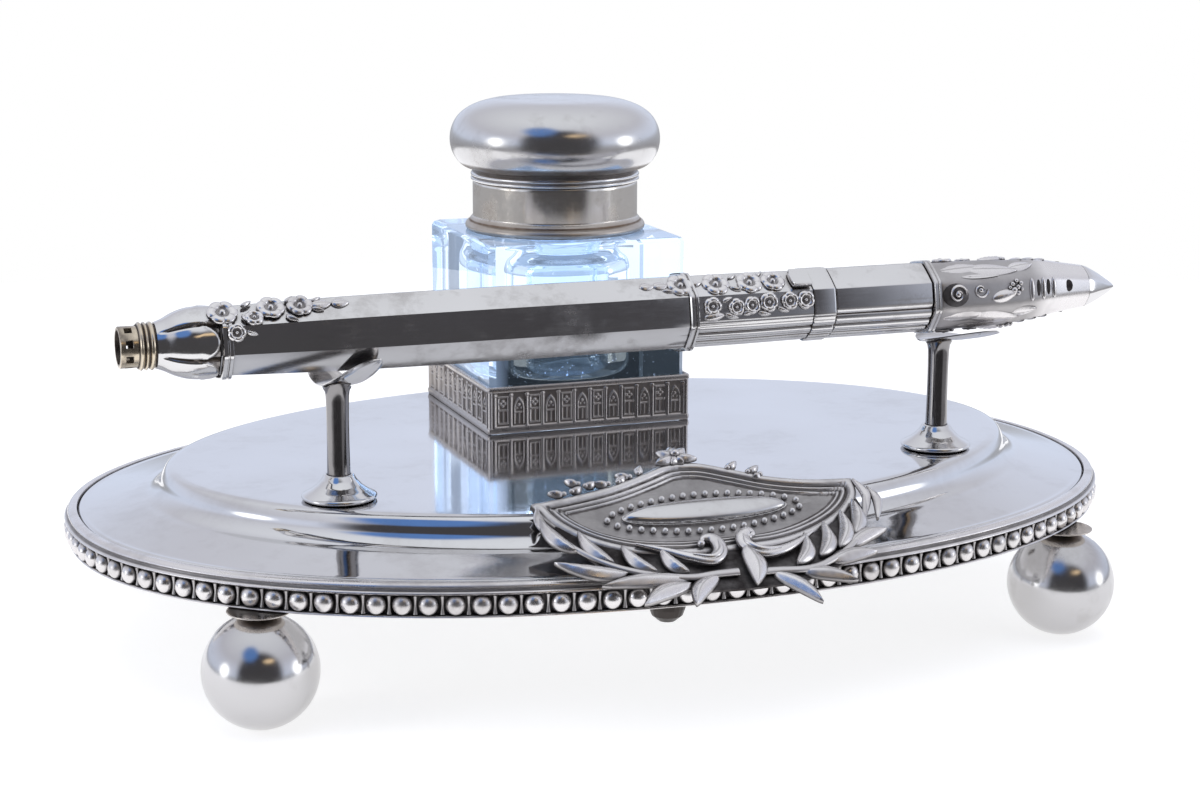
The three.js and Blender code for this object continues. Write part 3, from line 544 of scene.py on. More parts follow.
def make_bead_rim():
    """A channel of beads and small reels under a plain double moulding."""
    base_a, base_b = HALF_LENGTH - 2.8, HALF_WIDTH - 2.8
    z = RIM_BOTTOM
    steps = [
        (0.0, 0.0), (1.7, 0.0), (1.95, 0.2), (1.7, 0.5), (0.75, 0.6), (0.6, 2.4), (0.75, 4.2), (2.1, 4.35),
        (2.6, 4.65), (2.3, 5.05), (1.75, 5.1), (1.65, 5.4), (1.95, 5.75), (1.6, 6.25), (1.0, 6.5),
        (0.0, 6.5),
    ]
    section = fillet(np.array(steps) + (0.0, z), 0.22, 2, closed=True)
    # Patina and painted shade: the channel behind the beads and the groove above are darkened.
    in_channel = ramp(1.6, 1.0, section[:, 0]) * ((section[:, 1] > z + 0.4) & (section[:, 1] < z + 4.5))
    in_groove = 0.7 * ramp(0.35, 0.1, np.abs(section[:, 1] - z - 5.25)) * (section[:, 0] > 1.0)
    rows = [oval_row(base_a + out, base_b + out, RIM_POWER, height) for out, height in section]
    depth = np.repeat(np.maximum(in_channel, in_groove)[:, None], OVAL_COLUMNS, axis=1)
    border = skin(rows, depth, loop=True)
    beads = []
    mid_a, mid_b = base_a + 1.25, base_b + 1.25
    bead = ellipsoid(1.82, 1.5, 1.9, 20, 14)
    # Painted shade: each bead is darker on its inner half, against the channel.
    bead.recess = ramp(0.1, 1.1, bead.points[:, 1])
    for x, y, heading in along_oval(mid_a, mid_b, RIM_POWER, BEAD_COUNT):
        beads.append(bead.turned(heading, 2).moved(x, y, z + 2.4))
    reel = lathe([(0.0, -1.7), (0.5, -1.7), (0.34, -0.9), (0.26, 0.0), (0.34, 0.9), (0.5, 1.7), (0.0, 1.7)],
                 8)
    # Painted shade: the small reels between the beads are darkened evenly.
    reel.recess[:] = 0.45
    for x, y, _ in along_oval(mid_a, mid_b, RIM_POWER, BEAD_COUNT, 0.5):
        beads.append(reel.moved(x, y, z + 2.4))
    return border, together(beads)


border, beads = make_bead_rim()
build("rim_moulding", border, worked, "stand", "silver_worked", ["bead_border"], weighted=False)
build("rim_beads", beads, worked, "stand", "silver_worked", sharp=60.0, weighted=False)

# ---- Feet -------------------------------------------------------------------

BALL_RADIUS = 10.8
BALL_FLAT = 2.0


def make_ball(node):
    low, high = span(node)
    middle = (low + high) / 2
    centre = math.sqrt(BALL_RADIUS**2 - BALL_FLAT**2)
    start = -math.asin(centre / BALL_RADIUS)
    end = math.asin((high[2] - 0.02 - centre) / BALL_RADIUS)
    angles = np.linspace(start, end, 48)
    profile = np.stack([BALL_RADIUS * np.cos(angles), centre + BALL_RADIUS * np.sin(angles)], axis=-1)
    profile[0, 1] = 0.0
    profile = np.concatenate([[(0.0, 0.0)], profile, [(0.0, profile[-1, 1])]])
    return lathe(profile, 96).moved(middle[0], middle[1], 0.0)


def make_pad(node):
    low, high = span(node)
    middle = (low + high) / 2
    radius = (high[0] - low[0]) / 2
    profile = fillet(
        [(0.0, low[2]), (radius - 1.2, low[2]), (radius, high[2] - 0.25), (radius, high[2]),
         (0.0, high[2])], 0.2
    )
    return lathe(profile, 64, recess=np.full(len(profile), 0.5)).moved(middle[0], middle[1], 0.0)


for end in ("left", "right"):
    for face in ("front", "rear"):
        ball_node, pad_node = f"ball_foot_{face}_{end}", f"foot_pad_{face}_{end}"
        build(f"ball_{face}_{end}", make_ball(ball_node), ball_silver, "stand", "silver_polished",
              [ball_node])
        build(f"solder_pad_{face}_{end}", make_pad(pad_node), stained, "stand", "silver_worked", [pad_node])

# ---- Inkwell ----------------------------------------------------------------

gallery_low, gallery_high = span("gallery")
WELL_X, WELL_Y = (gallery_low[:2] + gallery_high[:2]) / 2
SEAT = gallery_low[2]
GALLERY_HEIGHT, GALLERY_WALL = 10.0, 0.75
PANEL_PAIRS = 6.25


def square_run(half, bevel, per_side, per_bevel):
    """Points round a square with its corners cut, the distance along each side, and which are on a corner."""
    inner = half - bevel
    corners = [(half, -inner), (half, inner), (inner, half), (-inner, half),
               (-half, inner), (-half, -inner), (-inner, -half), (inner, -half)]
    points, along = [], []
    for k in range(8):
        a, b = np.array(corners[k]), np.array(corners[(k + 1) % 8])
        count = per_side if k % 2 == 0 else per_bevel
        s = np.arange(count) / count
        points.append(a + (b - a) * s[:, None])
        along.append((s * 2 - 1) * inner if k % 2 == 0 else np.full(count, inner))
    return np.concatenate(points), np.concatenate(along)


def gallery_relief(u, v, reach):
    """How far the gallery wall stands out, 0 to 1, at u along a side and v up it."""
    pitch = 2 * reach / PANEL_PAIRS
    cell = (u / pitch) % 1.0
    panel = np.where(cell < 0.5, 0, 1)
    x = (cell * 2 % 1.0 - 0.5) * pitch / 2
    relief = np.full(u.shape, 0.12)

    def raise_to(level, distance, half_width):
        np.maximum(relief, level * ridge(distance, half_width) + 0.12, out=relief)

    edge = pitch / 4
    mullion = np.abs(np.abs(x) - edge)
    inside = (v > 1.5) & (v < 8.6)
    raise_to(0.62, np.where(inside, mullion, 9), 0.42)
    frame_half = edge - 0.78
    square = panel == 0
    arch = panel == 1
    upright = np.where(inside & (v > 2.0) & (v < 7.9), np.abs(np.abs(x) - frame_half), 9)
    raise_to(0.42, np.where(square, upright, 9), 0.22)
    for level in (2.1, 5.0, 7.8):
        raise_to(0.42, np.where(square & (np.abs(x) < frame_half + 0.2), np.abs(v - level), 9), 0.22)
    for cx, cy in ((0.0, 6.9), (0.0, 5.9), (0.5, 6.4), (-0.5, 6.4)):
        raise_to(0.5, np.where(square, np.hypot(x - cx, v - cy), 9), 0.36)
    raise_to(0.35, np.where(square & (v > 2.3) & (v < 4.8), np.abs(x), 9), 0.2)
    arc = 2.9
    swing = np.hypot(np.abs(x) + arc - frame_half, np.maximum(v - 5.2, 0.0))
    raise_to(0.48, np.where(arch & inside & (v > 1.8), np.abs(swing - arc), 9), 0.26)
    raise_to(0.4, np.where(arch & (np.abs(x) < frame_half), np.abs(v - 4.4), 9), 0.22)
    raise_to(0.5, np.where(arch, np.hypot(x, v - 6.0), 9), 0.38)
    for side in (-0.5, 0.5):
        raise_to(0.4, np.where(arch, np.hypot(x - side, v - 5.3), 9), 0.27)
    raise_to(0.35, np.where(arch & (v > 2.0) & (v < 4.2), np.abs(x), 9), 0.2)
    raise_to(0.75, np.hypot(np.abs(x) - edge, v - 8.15), 0.5)
    raise_to(0.6, np.hypot(np.abs(x) - edge, v - 1.9), 0.42)
    raise_to(0.78, np.abs(v - 0.72), 0.85)
    raise_to(0.88, np.abs(v - GALLERY_HEIGHT + 0.62), 0.72)
    return np.clip(relief, 0.0, 1.0)


def make_gallery():
    half = (gallery_high[0] - gallery_low[0]) / 2
    deep = 0.5
    outline, along = square_run(half, 0.4, 300, 3)
    inner_outline, _ = square_run(half - GALLERY_WALL, 0.4, 300, 3)
    heights = np.concatenate([[0.0], np.linspace(0.05, GALLERY_HEIGHT - 0.05, 76), [GALLERY_HEIGHT]])
    u, v = np.meshgrid(along, heights)
    relief = gallery_relief(u, v, half - 0.4)
    post = np.abs(u) > half - 1.1
    relief = np.where(post & (v > 1.2) & (v < 9.0), 0.62 - 0.3 * ridge(np.abs(u) - half + 0.9, 0.25),
                      relief)
    relief[0], relief[-1] = 0.7, 0.7
    shrink = (half - deep * (1 - relief)) / half
    rows = np.empty(u.shape + (3,))
    rows[..., 0] = outline[None, :, 0] * shrink
    rows[..., 1] = outline[None, :, 1] * shrink
    rows[..., 2] = SEAT + heights[:, None]
    depth = ramp(0.6, 0.15, relief)
    inner = [at_level(inner_outline, SEAT + z) for z in (GALLERY_HEIGHT, GALLERY_HEIGHT / 2, 0.0)]
    rows = np.concatenate([rows, np.array(inner)])
    depth = np.concatenate([depth, np.full((3, u.shape[1]), 0.8)])
    return skin(rows, depth, loop=True).moved(WELL_X, WELL_Y, 0.0)


build("gallery_wall", make_gallery(), pierced, "stand", "silver_worked", ["gallery"], sharp=50.0,
      weighted=False)


BORE_FLOOR = 45.0
NECK_BOTTOM = 74.0
# Top of a dark band of painted shade on the glass's front face.
PAINTED_SHADE_TOP = 53.6


def make_glass():
    low, high = span("inkwell_glass")
    half = (high[0] - low[0]) / 2
    top, neck_top = span("neck_collar")[0][2] - 0.1, high[2]
    bevel = 1.2
    outline, _ = square_run(half, bevel, 15, 6)
    angles = np.arctan2(outline[:, 1], outline[:, 0])

    def square(shrink, z):
        points, _ = square_run(half - shrink, bevel - shrink * 0.4, 15, 6)
        return at_level(points, z)

    def ring(radius, z):
        return at_level(np.column_stack([radius * np.cos(angles), radius * np.sin(angles)]), z)

    outside = [(half, low[2]), (0.8, low[2]), (0.25, low[2] + 0.35), (0.0, low[2] + 0.8), (0.0, PAINTED_SHADE_TOP),
               (0.0, PAINTED_SHADE_TOP + 0.7), (0.0, top - 12), (0.0, top - 1.1), (0.25, top - 0.5),
               (0.6, top - 0.15), (1.1, top)]
    rows = [square(shrink, z) if i else ring(TINY, z) for i, (shrink, z) in enumerate(outside)]
    neck = fillet([(17.5, top), (15.8, top), (15.8, neck_top), (11.0, neck_top), (11.0, NECK_BOTTOM)], 0.5,
                  3)
    shoulder = smooth_curve([(11.0, NECK_BOTTOM), (11.1, 73.0), (12.0, 71.6), (13.4, 70.4), (14.0, 68.6),
                             (14.0, 67.0)], 5)
    steps = [(14.0, 4.5), (13.9, 2.6), (13.0, 1.0), (11.0, 0.2), (7.0, 0.0), (TINY, 0.0)]
    bottom = smooth_curve(np.array(steps) + (0.0, BORE_FLOOR), 5)
    rows += [ring(r, z) for r, z in np.concatenate([neck, shoulder, [(14.0, 60.0), (14.0, 54.0)], bottom])]
    block = skin(rows)
    x, y, z = block.points.T
    # Painted shade: the front face below that height is marked to take the dark colour.
    block.recess = ((z < PAINTED_SHADE_TOP + 0.1) & (y < 0.2 - half) & (x > bevel - half)).astype(float)
    return block.moved(WELL_X, WELL_Y, 0.0)


build("glass_block", make_glass(), glass, "inkwell", "crystal", ["inkwell_glass"], sharp=28.0)


def make_collar():
    low, high = span("neck_collar")
    bottom, top = low[2], high[2]
    profile = fillet(
        [
            (15.9, bottom), (19.0, bottom), (19.5, bottom + 0.4), (19.6, bottom + 1.0),
            (19.25, bottom + 1.7),
            (18.6, bottom + 1.95), (18.6, bottom + 2.2), (18.3, bottom + 2.6), (17.9, bottom + 3.0),
            (17.9, top - 0.5), (17.75, top), (16.7, top), (16.7, 85.0), (15.9, 85.0),
        ],
        0.25,
        3,
        closed=True,
    )
    # Patina and painted shade: darker towards the bottom, with dark lines in the groove and at the foot where
    # it meets the glass.
    depth = 0.6 * ramp(bottom + 4.0, bottom + 2.4, profile[:, 1])
    depth = np.maximum(depth, 0.95 * ramp(0.5, 0.1, np.abs(profile[:, 1] - bottom - 2.1)))
    depth = np.maximum(depth, 0.95 * ramp(0.5, 0.1, np.abs(profile[:, 1] - bottom)))
    return lathe(profile, 128, recess=depth, loop=True).moved(WELL_X, WELL_Y, 0.0)


def make_lid_ring():
    low, high = span("lid_seat_ring")
    bottom, top = low[2] + 1.5, high[2]
    profile = fillet(
        [
            (15.2, low[2]), (16.1, low[2]), (16.1, bottom), (18.1, bottom), (18.3, bottom + 0.25),
            (18.3, bottom + 0.6),
            (18.0, bottom + 0.75), (18.0, bottom + 1.0), (18.3, bottom + 1.15), (18.3, bottom + 1.5),
            (17.9, top - 0.5), (17.7, top), (15.2, top),
        ],
        0.15,
        2,
        closed=True,
    )
    depth = 0.9 * ramp(0.3, 0.1, np.abs(profile[:, 1] - bottom - 0.87))
    # Painted shade: the top of the band, under the dome's lip, is darkened fully.
    depth = np.maximum(depth, ramp(bottom + 1.6, bottom + 2.0, profile[:, 1]))
    return lathe(profile, 128, recess=depth, loop=True).moved(WELL_X, WELL_Y, 0.0)


def make_dome():
    low, high = span("lid_dome")
    bottom, top = low[2], high[2]
    outer = smooth_curve(
        [
            (18.7, bottom + 0.05), (19.9, bottom + 0.55), (21.2, bottom + 1.7), (22.3, bottom + 3.6),
            (22.78, bottom + 6.0), (22.4, bottom + 8.7), (21.0, bottom + 11.2), (18.4, bottom + 13.15),
            (14.0, top - 0.62), (8.0, top - 0.14), (3.0, top - 0.02), (TINY, top),
        ],
        8,
    )
    inner = smooth_curve(
        [
            (TINY, top - 0.9), (8.0, top - 1.05), (13.6, top - 1.5), (17.8, top - 2.7), (20.2, top - 4.8),
            (21.5, bottom + 8.5), (21.9, bottom + 6.0), (21.4, bottom + 3.8), (20.3, bottom + 2.1),
            (18.9, bottom + 1.1),
            (17.7, bottom + 0.6), (17.7, bottom + 0.05),
        ],
        5,
    )
    profile = np.concatenate([outer, inner])
    # Painted shade: the dome is darkened at its lower edge, and a little on its inside.
    depth = np.concatenate([ramp(bottom + 2.0, bottom + 1.0, outer[:, 1]), np.full(len(inner), 0.4)])
    return lathe(profile, 144, recess=depth, loop=True).moved(WELL_X, WELL_Y, 0.0)


build("collar_ring", make_collar(), stained, "inkwell", "silver_polished", ["neck_collar"])
build("lid_band", make_lid_ring(), turned_silver, "lid", "silver_polished", ["lid_seat_ring"])
build("lid_crown", make_dome(), satin, "lid", "silver_polished", ["lid_dome"])

# ---- Lid hinge --------------------------------------------------------------

pin_low, pin_high = span("hinge_pin")
HINGE = (pin_low + pin_high) / 2
KNUCKLE, BORE = 1.3, 0.8


def knuckle(x0, x1):
    profile = fillet([(BORE, x0), (KNUCKLE, x0), (KNUCKLE, x1), (BORE, x1)], 0.18, 2, closed=True)
    return lathe(profile, 32, axis=0, loop=True)


def bar(x0, x1, y0, y1, z0, z1, rounding=0.15):
    """A small block with softened edges."""
    half_x, half_y = (x1 - x0) / 2, (y1 - y0) / 2
    outline = fillet([(half_x, -half_y), (half_x, half_y), (-half_x, half_y), (-half_x, -half_y)], rounding,
                     2, True)
    levels = [(z0, rounding), (z0 + rounding, 0.0), (z1 - rounding, 0.0), (z1, rounding)]
    scale = [((half_x - cut) / half_x, (half_y - cut) / half_y) for _, cut in levels]
    rows = [at_level(outline * s, z) for (z, _), s in zip(levels, scale)]
    return skin(rows, capped=True).moved((x0 + x1) / 2, (y0 + y1) / 2, 0.0)


def hinge_leaf(x0, x1, y0, y1, z0, z1):
    """A thin flat leaf with two domed rivets."""
    leaf = bar(x0, x1, y0, y1, z0, z1)
    rivets = [ellipsoid(0.55, 0.3, 0.55, 12, 6).moved(x, y1, (z0 + z1) / 2) for x in (x0 * 0.65, x1 * 0.65)]
    return together([leaf] + rivets)


def make_hinge_collar():
    parts = [hinge_leaf(-6.0, 6.0, -1.9, -1.15, -4.8, -1.7)]
    for side in (-1, 1):
        near, far = sorted((side * 2.0, side * 6.0))
        parts.append(knuckle(near, far))
        parts.append(bar(near, far, -1.55, -0.85, -2.2, -0.3))
    return together(parts)


def make_hinge_lid():
    return together([knuckle(-1.8, 1.8), bar(-1.8, 1.8, -1.45, -0.85, 0.2, 2.1),
                     bar(-5.0, 5.0, -1.45, -0.8, 1.45, 2.35)])


build("hinge_collar_leaf", make_hinge_collar().moved(*HINGE), turned_silver, "inkwell", "silver_worked",
      ["hinge_leaf_collar"])
build("hinge_lid_leaf", make_hinge_lid().moved(*HINGE), turned_silver, "lid", "silver_worked",
      ["hinge_leaf_lid"])

# ---- Pen rests --------------------------------------------------------------


def make_flange():
    profile = [
        (2.25, 0.0), (6.6, 0.0), (6.95, 0.2), (7.2, 0.55), (7.05, 0.95), (6.6, 1.2), (5.4, 1.85),
        (4.3, 2.7),
        (3.4, 3.7), (2.75, 4.8), (2.25, 4.8),
    ]
    return lathe(fillet(profile, 0.25, 3, closed=True), 72, loop=True)


CRADLES = {
    "left": {"yaw": 36.0, "near": 10.6, "far": 6.5, "half": 2.9, "slope": 0.8},
    "right": {"yaw": 68.0, "near": 12.3, "far": 4.8, "half": 3.6, "slope": 0.5},
}
CRADLE_BEND = 1.2


def make_column(bottom, top, slope):
    """A thin column whose head is cut to the hollow of the leaf it carries and swells a little to meet it."""
    waist = smooth_curve([(2.2, SEAT + 6.0), (2.12, SEAT + 10.0), (2.12, top - 5.0), (2.2, top - 1.6)], 4)
    profile = [(0.0, bottom), (1.3, bottom), (1.5, bottom + 0.3), (1.5, SEAT), (2.2, SEAT)]
    profile += [tuple(p) for p in waist]
    profile += [(2.35, top - 0.6), (2.7, top), (2.5, top + 0.3), (1.5, top + 0.3), (0.0, top + 0.3)]

    def saddle(x, y, z):
        lift = np.sqrt((slope * y) ** 2 + CRADLE_BEND**2) - CRADLE_BEND
        return x, y, z + lift * ramp(top - 1.6, top, z)

    return lathe(profile, 64).shaped(saddle)


def make_cradle(yaw, near, far, half, slope, base):
    """A leaf of sheet bent into a valley under the pen, with a raised midrib and thin edges."""
    yaw = math.radians(yaw)
    rows, steps, across = [], 48, 12
    for i in range(steps + 1):
        along = -far + (far + near) * i / steps
        reach = along / near if along > 0 else -along / far
        width = half * math.sqrt(max(0.004, 1 - reach**3))
        side = np.linspace(-1, 1, across + 1)
        x = along * math.sin(yaw) + side * width * math.cos(yaw)
        y = -along * math.cos(yaw) + side * width * math.sin(yaw)
        z = np.sqrt((y * slope) ** 2 + CRADLE_BEND**2) + base
        thin = 0.62 * (1 - 0.6 * side**4) * (1 - 0.5 * reach**6)
        top = z - 0.05 - 0.1 * side**4
        rib = 0.1 * ridge(side, 0.16)
        upper = np.column_stack([x, y, top])
        lower = np.column_stack([x, y, top - thin - rib])[::-1]
        rows.append(np.concatenate([upper, lower]))
    return skin(rows, capped=True)


for end in ("left", "right"):
    flange_low, flange_high = span(f"pen_rest_flange_{end}")
    rest_x, rest_y = (flange_low[:2] + flange_high[:2]) / 2
    column_low, column_high = span(f"pen_rest_column_{end}")
    build(f"rest_flange_{end}", make_flange().moved(rest_x, rest_y, flange_low[2]), turned_silver, "stand",
          "silver_polished", [f"pen_rest_flange_{end}"])
    column = make_column(column_low[2], column_high[2], CRADLES[end]["slope"])
    build(f"rest_column_{end}", column.moved(rest_x, rest_y), shadowed, "stand", "silver_polished",
          [f"pen_rest_column_{end}"])
    leaf_base = span(f"pen_rest_cradle_{end}")[0][2] + 0.8 - CRADLE_BEND
    build(f"rest_leaf_{end}", make_cradle(base=leaf_base, **CRADLES[end]).moved(rest_x, rest_y),
          turned_silver,
          "stand", "silver_polished", [f"pen_rest_cradle_{end}"], sharp=40.0)

# ---- Pen --------------------------------------------------------------------

barrel_low, barrel_high = span("pen_barrel")
PEN_Y = (barrel_low[1] + barrel_high[1]) / 2
PEN_Z = (barrel_low[2] + barrel_high[2]) / 2
PEN_ROLL = math.radians(-10)


def pen_piece(name, part, material, slot, nodes=(), **settings):
    """A piece made about the pen's own axis, which lies rolled a little towards the back in its rests."""
    return build(name, part.turned(PEN_ROLL, 0).moved(0.0, PEN_Y, PEN_Z), material, "pen", slot, nodes,
                 **settings)


def on_face(part, x, up, angle, distance):
    """Lays a part on one of the pen's long faces, x along the pen and up the face."""
    return part.moved(x, up, distance).turned(angle, 0)


SLOPING, FRONT = math.pi / 4, math.pi / 2
FLUTES = 18


def pen_section(across, reeded=0.0, reeds_from=-0.35, fullness=0.2, columns=288):
    """Eight slightly full faces, flats above and below, that can turn to reeds on the underside.

    Gives the outline in the cross plane and how deep each point lies between two reeds."""
    theta = TAU * np.arange(columns) / columns
    off_flat = (theta + TAU / 16) % (TAU / 8) - TAU / 16
    radius = across / 2 * ((1 - fullness) / np.cos(off_flat) + fullness)
    reeds = np.abs(np.sin(theta * FLUTES / 2))
    below = reeded * ramp(0.1, -0.1, np.sin(theta) - reeds_from)
    radius = radius * (1 - below) + below * (across / 2 - 0.5 + 0.55 * np.sqrt(reeds))
    depth = below * ramp(0.4, 0.05, reeds)
    return np.column_stack([radius * np.cos(theta), radius * np.sin(theta)]), depth


def octagon(across, rounding=0.22):
    """A plain eight-sided section whose corners are rounded off a little."""
    outline, _ = pen_section(across, columns=96)
    reach = np.hypot(*outline.T)
    return outline * np.minimum(1.0, (reach.max() - rounding * 0.25) / reach)[:, None]


def octagon_run(places, rounding=0.22, loop=False):
    """An eight-sided solid through [place, across, drop] stations, or a ring if the last meets the first."""
    rows = [along_x(octagon(across, rounding) - (0.0, drop), x) for x, across, drop in places]
    return skin(rows, capped=not loop, loop=loop)


def octagon_sleeve(x0, x1, profile, inner):
    """A ring round the pen: profile is [share of the length, across], inner its hole's width."""
    stations = [(x0 + (x1 - x0) * s, across) for s, across in profile]
    stations += [(x1, inner), (x0, inner)]
    return octagon_run([(x, across, 0.0) for x, across in stations], loop=True)


def reeded_run(stations, capped=True):
    """A length of the pen through [place, across, share of reeding, where the reeds begin] stations."""
    rows, depths = [], []
    for x, across, reeded, start in stations:
        outline, depth = pen_section(across, reeded, start)
        rows.append(along_x(outline, x))
        depths.append(depth)
    return skin(rows, np.array(depths), capped=capped, loop=not capped)


def make_barrel():
    x0, x1 = barrel_low[0], barrel_high[0]
    swell = smooth_curve([(x0, 12.6), (-64.0, 13.75), (-34.0, 14.2), (5.0, 14.1)], 10)
    stations = [(x0, 10.2, 0, -0.35), (x0, 12.3, 0, -0.35)]
    stations += [(x, across, 0, -0.35) for x, across in swell[1:]]
    stations += [(x, 14.0, 1, -0.35) for x in (6.2, 7.2, 18.0)]
    stations += [(x1, 13.7, 1, -0.35), (x1, 10.2, 0, -0.35)]
    return reeded_run(stations, capped=False)


def pierced_tube(x0, x1, outer, inner, columns=48, window=3):
    """A tube along the pen with a ring of small square windows near its open end."""
    stops = [x0, x0 + 0.15, x0 + 0.95, x0 + 2.35, x1]
    angles = TAU * (np.arange(columns) + 0.5) / columns
    kept, points = [], []
    for radius in (outer, inner):
        for k, x in enumerate(stops):
            r = radius - 0.12 if k == 0 and radius == outer else radius
            points.append(along_x(np.column_stack([r * np.cos(angles), r * np.sin(angles)]), x))
    points = np.concatenate(points)
    rows = len(stops)

    def at(layer, row, column):
        return (layer * rows + row) * columns + column % columns

    def is_window(row, column):
        return row == 2 and (column + columns // 16) % (columns // 8) < window

    for j in range(columns):
        for row in range(rows - 1):
            if is_window(row, j):
                if not is_window(row, j - 1):
                    kept.append((at(0, row, j), at(0, row + 1, j), at(1, row + 1, j), at(1, row, j)))
                if not is_window(row, j + 1):
                    kept.append((at(0, row, j + 1), at(1, row, j + 1), at(1, row + 1, j + 1),
                                 at(0, row + 1, j + 1)))
                for edge in (row, row + 1):
                    kept.append((at(0, edge, j), at(0, edge, j + 1), at(1, edge, j + 1), at(1, edge, j)))
                continue
            for layer in (0, 1):
                kept.append((at(layer, row, j), at(layer, row, j + 1), at(layer, row + 1, j + 1),
                             at(layer, row + 1, j)))
        for edge in (0, rows - 1):
            kept.append((at(0, edge, j), at(0, edge, j + 1), at(1, edge, j + 1), at(1, edge, j)))
    # Painted shade: the inside of the tube is darkened.
    depth = np.where(np.hypot(points[:, 1], points[:, 2]) < inner + 0.1, 0.9, 0.1)
    return Part(points, kept, depth)


SOCKET_TUBE_END, SOCKET_FLOOR = -98.0, -95.0


def make_socket():
    low, high = span("pen_nib_socket")
    tube = pierced_tube(low[0], SOCKET_TUBE_END, (high[2] - low[2]) / 2, 3.1)
    profile = [(0.0, SOCKET_FLOOR), (3.2, SOCKET_FLOOR), (3.2, high[0]), (0.0, high[0])]
    plug = lathe(profile, 48, axis=0)
    # Painted shade: the floor inside the socket is darkened.
    plug.recess[:] = 0.8
    return together([tube, plug])


def make_socket_collar():
    low, high = span("pen_socket_collar")
    x0, x1 = low[0], high[0]
    profile = [(3.95, x0), (4.0, x0)]
    for start, length in ((0.1, 0.95), (1.15, 0.7), (2.0, 1.1)):
        profile += [(4.0 + 0.45 * math.sin(math.pi * s), x0 + start + length * s) for s in np.linspace(0, 1,
                                                                                                       9)]
    profile += [(4.0, x1), (3.95, x1)]
    profile = np.array(profile)
    depth = ramp(4.3, 4.05, profile[:, 0])
    return lathe(profile, 72, axis=0, recess=depth, loop=True)


def make_shoulder():
    """A swelling shoulder of six petals whose tips turn out at the barrel."""
    low, high = span("pen_shoulder")
    x0, x1 = low[0], high[0]
    rows, depths = [], []
    columns = 180
    theta = TAU * np.arange(columns) / columns
    stations = np.linspace(0, 1, 40)
    radius = smooth_curve([(0.0, 4.25), (0.12, 4.7), (0.35, 5.85), (0.6, 6.55), (0.85, 6.7), (1.0, 6.7)],
                          12)
    for s in stations:
        r = np.interp(s, radius[:, 0], radius[:, 1])
        petal = np.abs(((theta / TAU * 6 + 0.5) % 1.0) - 0.5) * 2
        seam = 0.6 * ramp(0.84, 1.0, petal) * ramp(0.02, 0.3, s)
        belly = 0.2 * (1 - petal**2) * ramp(0.0, 0.4, s)
        tip = 0.62 + 0.34 * np.sqrt(np.clip(1 - petal**2, 0, 1))
        lip = ridge(s - tip, 0.06) * 0.34
        beyond = ramp(0.0, 0.03, s - tip)
        r_out = r - seam + belly + lip - 0.5 * beyond
        outline = np.column_stack([r_out * np.cos(theta), r_out * np.sin(theta)])
        rows.append(along_x(outline, x0 + (x1 - x0) * s))
        depths.append(np.clip(seam * 2.2 + 0.75 * beyond, 0, 1))
    limit = (high[2] - low[2]) / 2
    part = skin(rows, np.array(depths), capped=True)
    over = np.hypot(part.points[:, 1], part.points[:, 2])
    part.points[:, 1:] *= np.minimum(1.0, limit / np.maximum(over, 1e-6))[:, None]
    return part


def make_fluted_barrel():
    """Plain and rounded above, reeded from the middle of its front face down."""
    low, high = span("pen_fluted_barrel")
    ends = ((low[0], 13.5), (low[0] + 0.3, 13.9), (low[0] + 11, 14.0), (high[0] - 0.3, 13.9),
            (high[0], 13.5))
    return reeded_run([(x, across, 1, -0.1) for x, across in ends])


def make_ferrule_cup():
    """The collar between the barrels: plain faces above, its underside reeded like its neighbours."""
    low, high = span("pen_ferrule_collar")
    ends = ((low[0], 14.2), (low[0] + 0.25, 14.5), (high[0] - 0.5, 14.45), (high[0] - 0.2, 14.3),
            (high[0], 13.8))
    return reeded_run([(x, across, 1, -0.35) for x, across in ends])


pen_piece("nib_socket_tube", make_socket(), gilt, "silver_polished", ["pen_nib_socket"])
pen_piece("nib_socket_beads", make_socket_collar(), gilt, "silver_worked", ["pen_socket_collar"])
pen_piece("pen_petal_shoulder", make_shoulder(), pen_silver, "silver_polished", ["pen_shoulder"],
          sharp=60.0)
pen_piece("pen_faceted_barrel", make_barrel(), pen_silver, "silver_polished", ["pen_barrel"])
TWO_ROLLS = {
    "nib_end": ([(0.0, 13.5), (0.08, 14.1), (0.42, 14.1), (0.48, 13.7), (0.58, 13.7), (0.64, 14.1),
                 (0.92, 14.1),
                 (1.0, 13.5)], 13.3),
    "middle": ([(0.0, 14.9), (0.1, 15.35), (0.38, 15.35), (0.45, 14.7), (0.6, 14.7), (0.67, 15.35),
                (0.9, 15.35),
                (1.0, 14.9)], 14.4),
}
for place, (profile, inner) in TWO_ROLLS.items():
    band_low, band_high = span(f"pen_band_{place}")
    pen_piece(f"pen_ring_{place}", octagon_sleeve(band_low[0], band_high[0], profile, inner), pen_silver,
              "silver_polished", [f"pen_band_{place}"])
band_low, band_high = span("pen_band_scroll_end")
roll_steps = [(0.0, 14.1), (0.2, 14.75), (0.65, 14.75), (0.8, 14.3), (1.0, 14.3), (1.15, 14.75)]
ring = [(band_low[0] + x, across, 0.0) for x, across in roll_steps]
ring += [(band_high[0] - 0.15, 14.75, 0.0), (band_high[0], 14.1, 0.0)]
pen_piece("pen_ring_scroll_end", octagon_run(ring), pen_silver, "silver_polished", ["pen_band_scroll_end"])
collar_low, collar_high = span("pen_ferrule_collar")
pen_piece("pen_ferrule_cup", make_ferrule_cup(), pen_silver, "silver_polished", ["pen_ferrule_collar"])


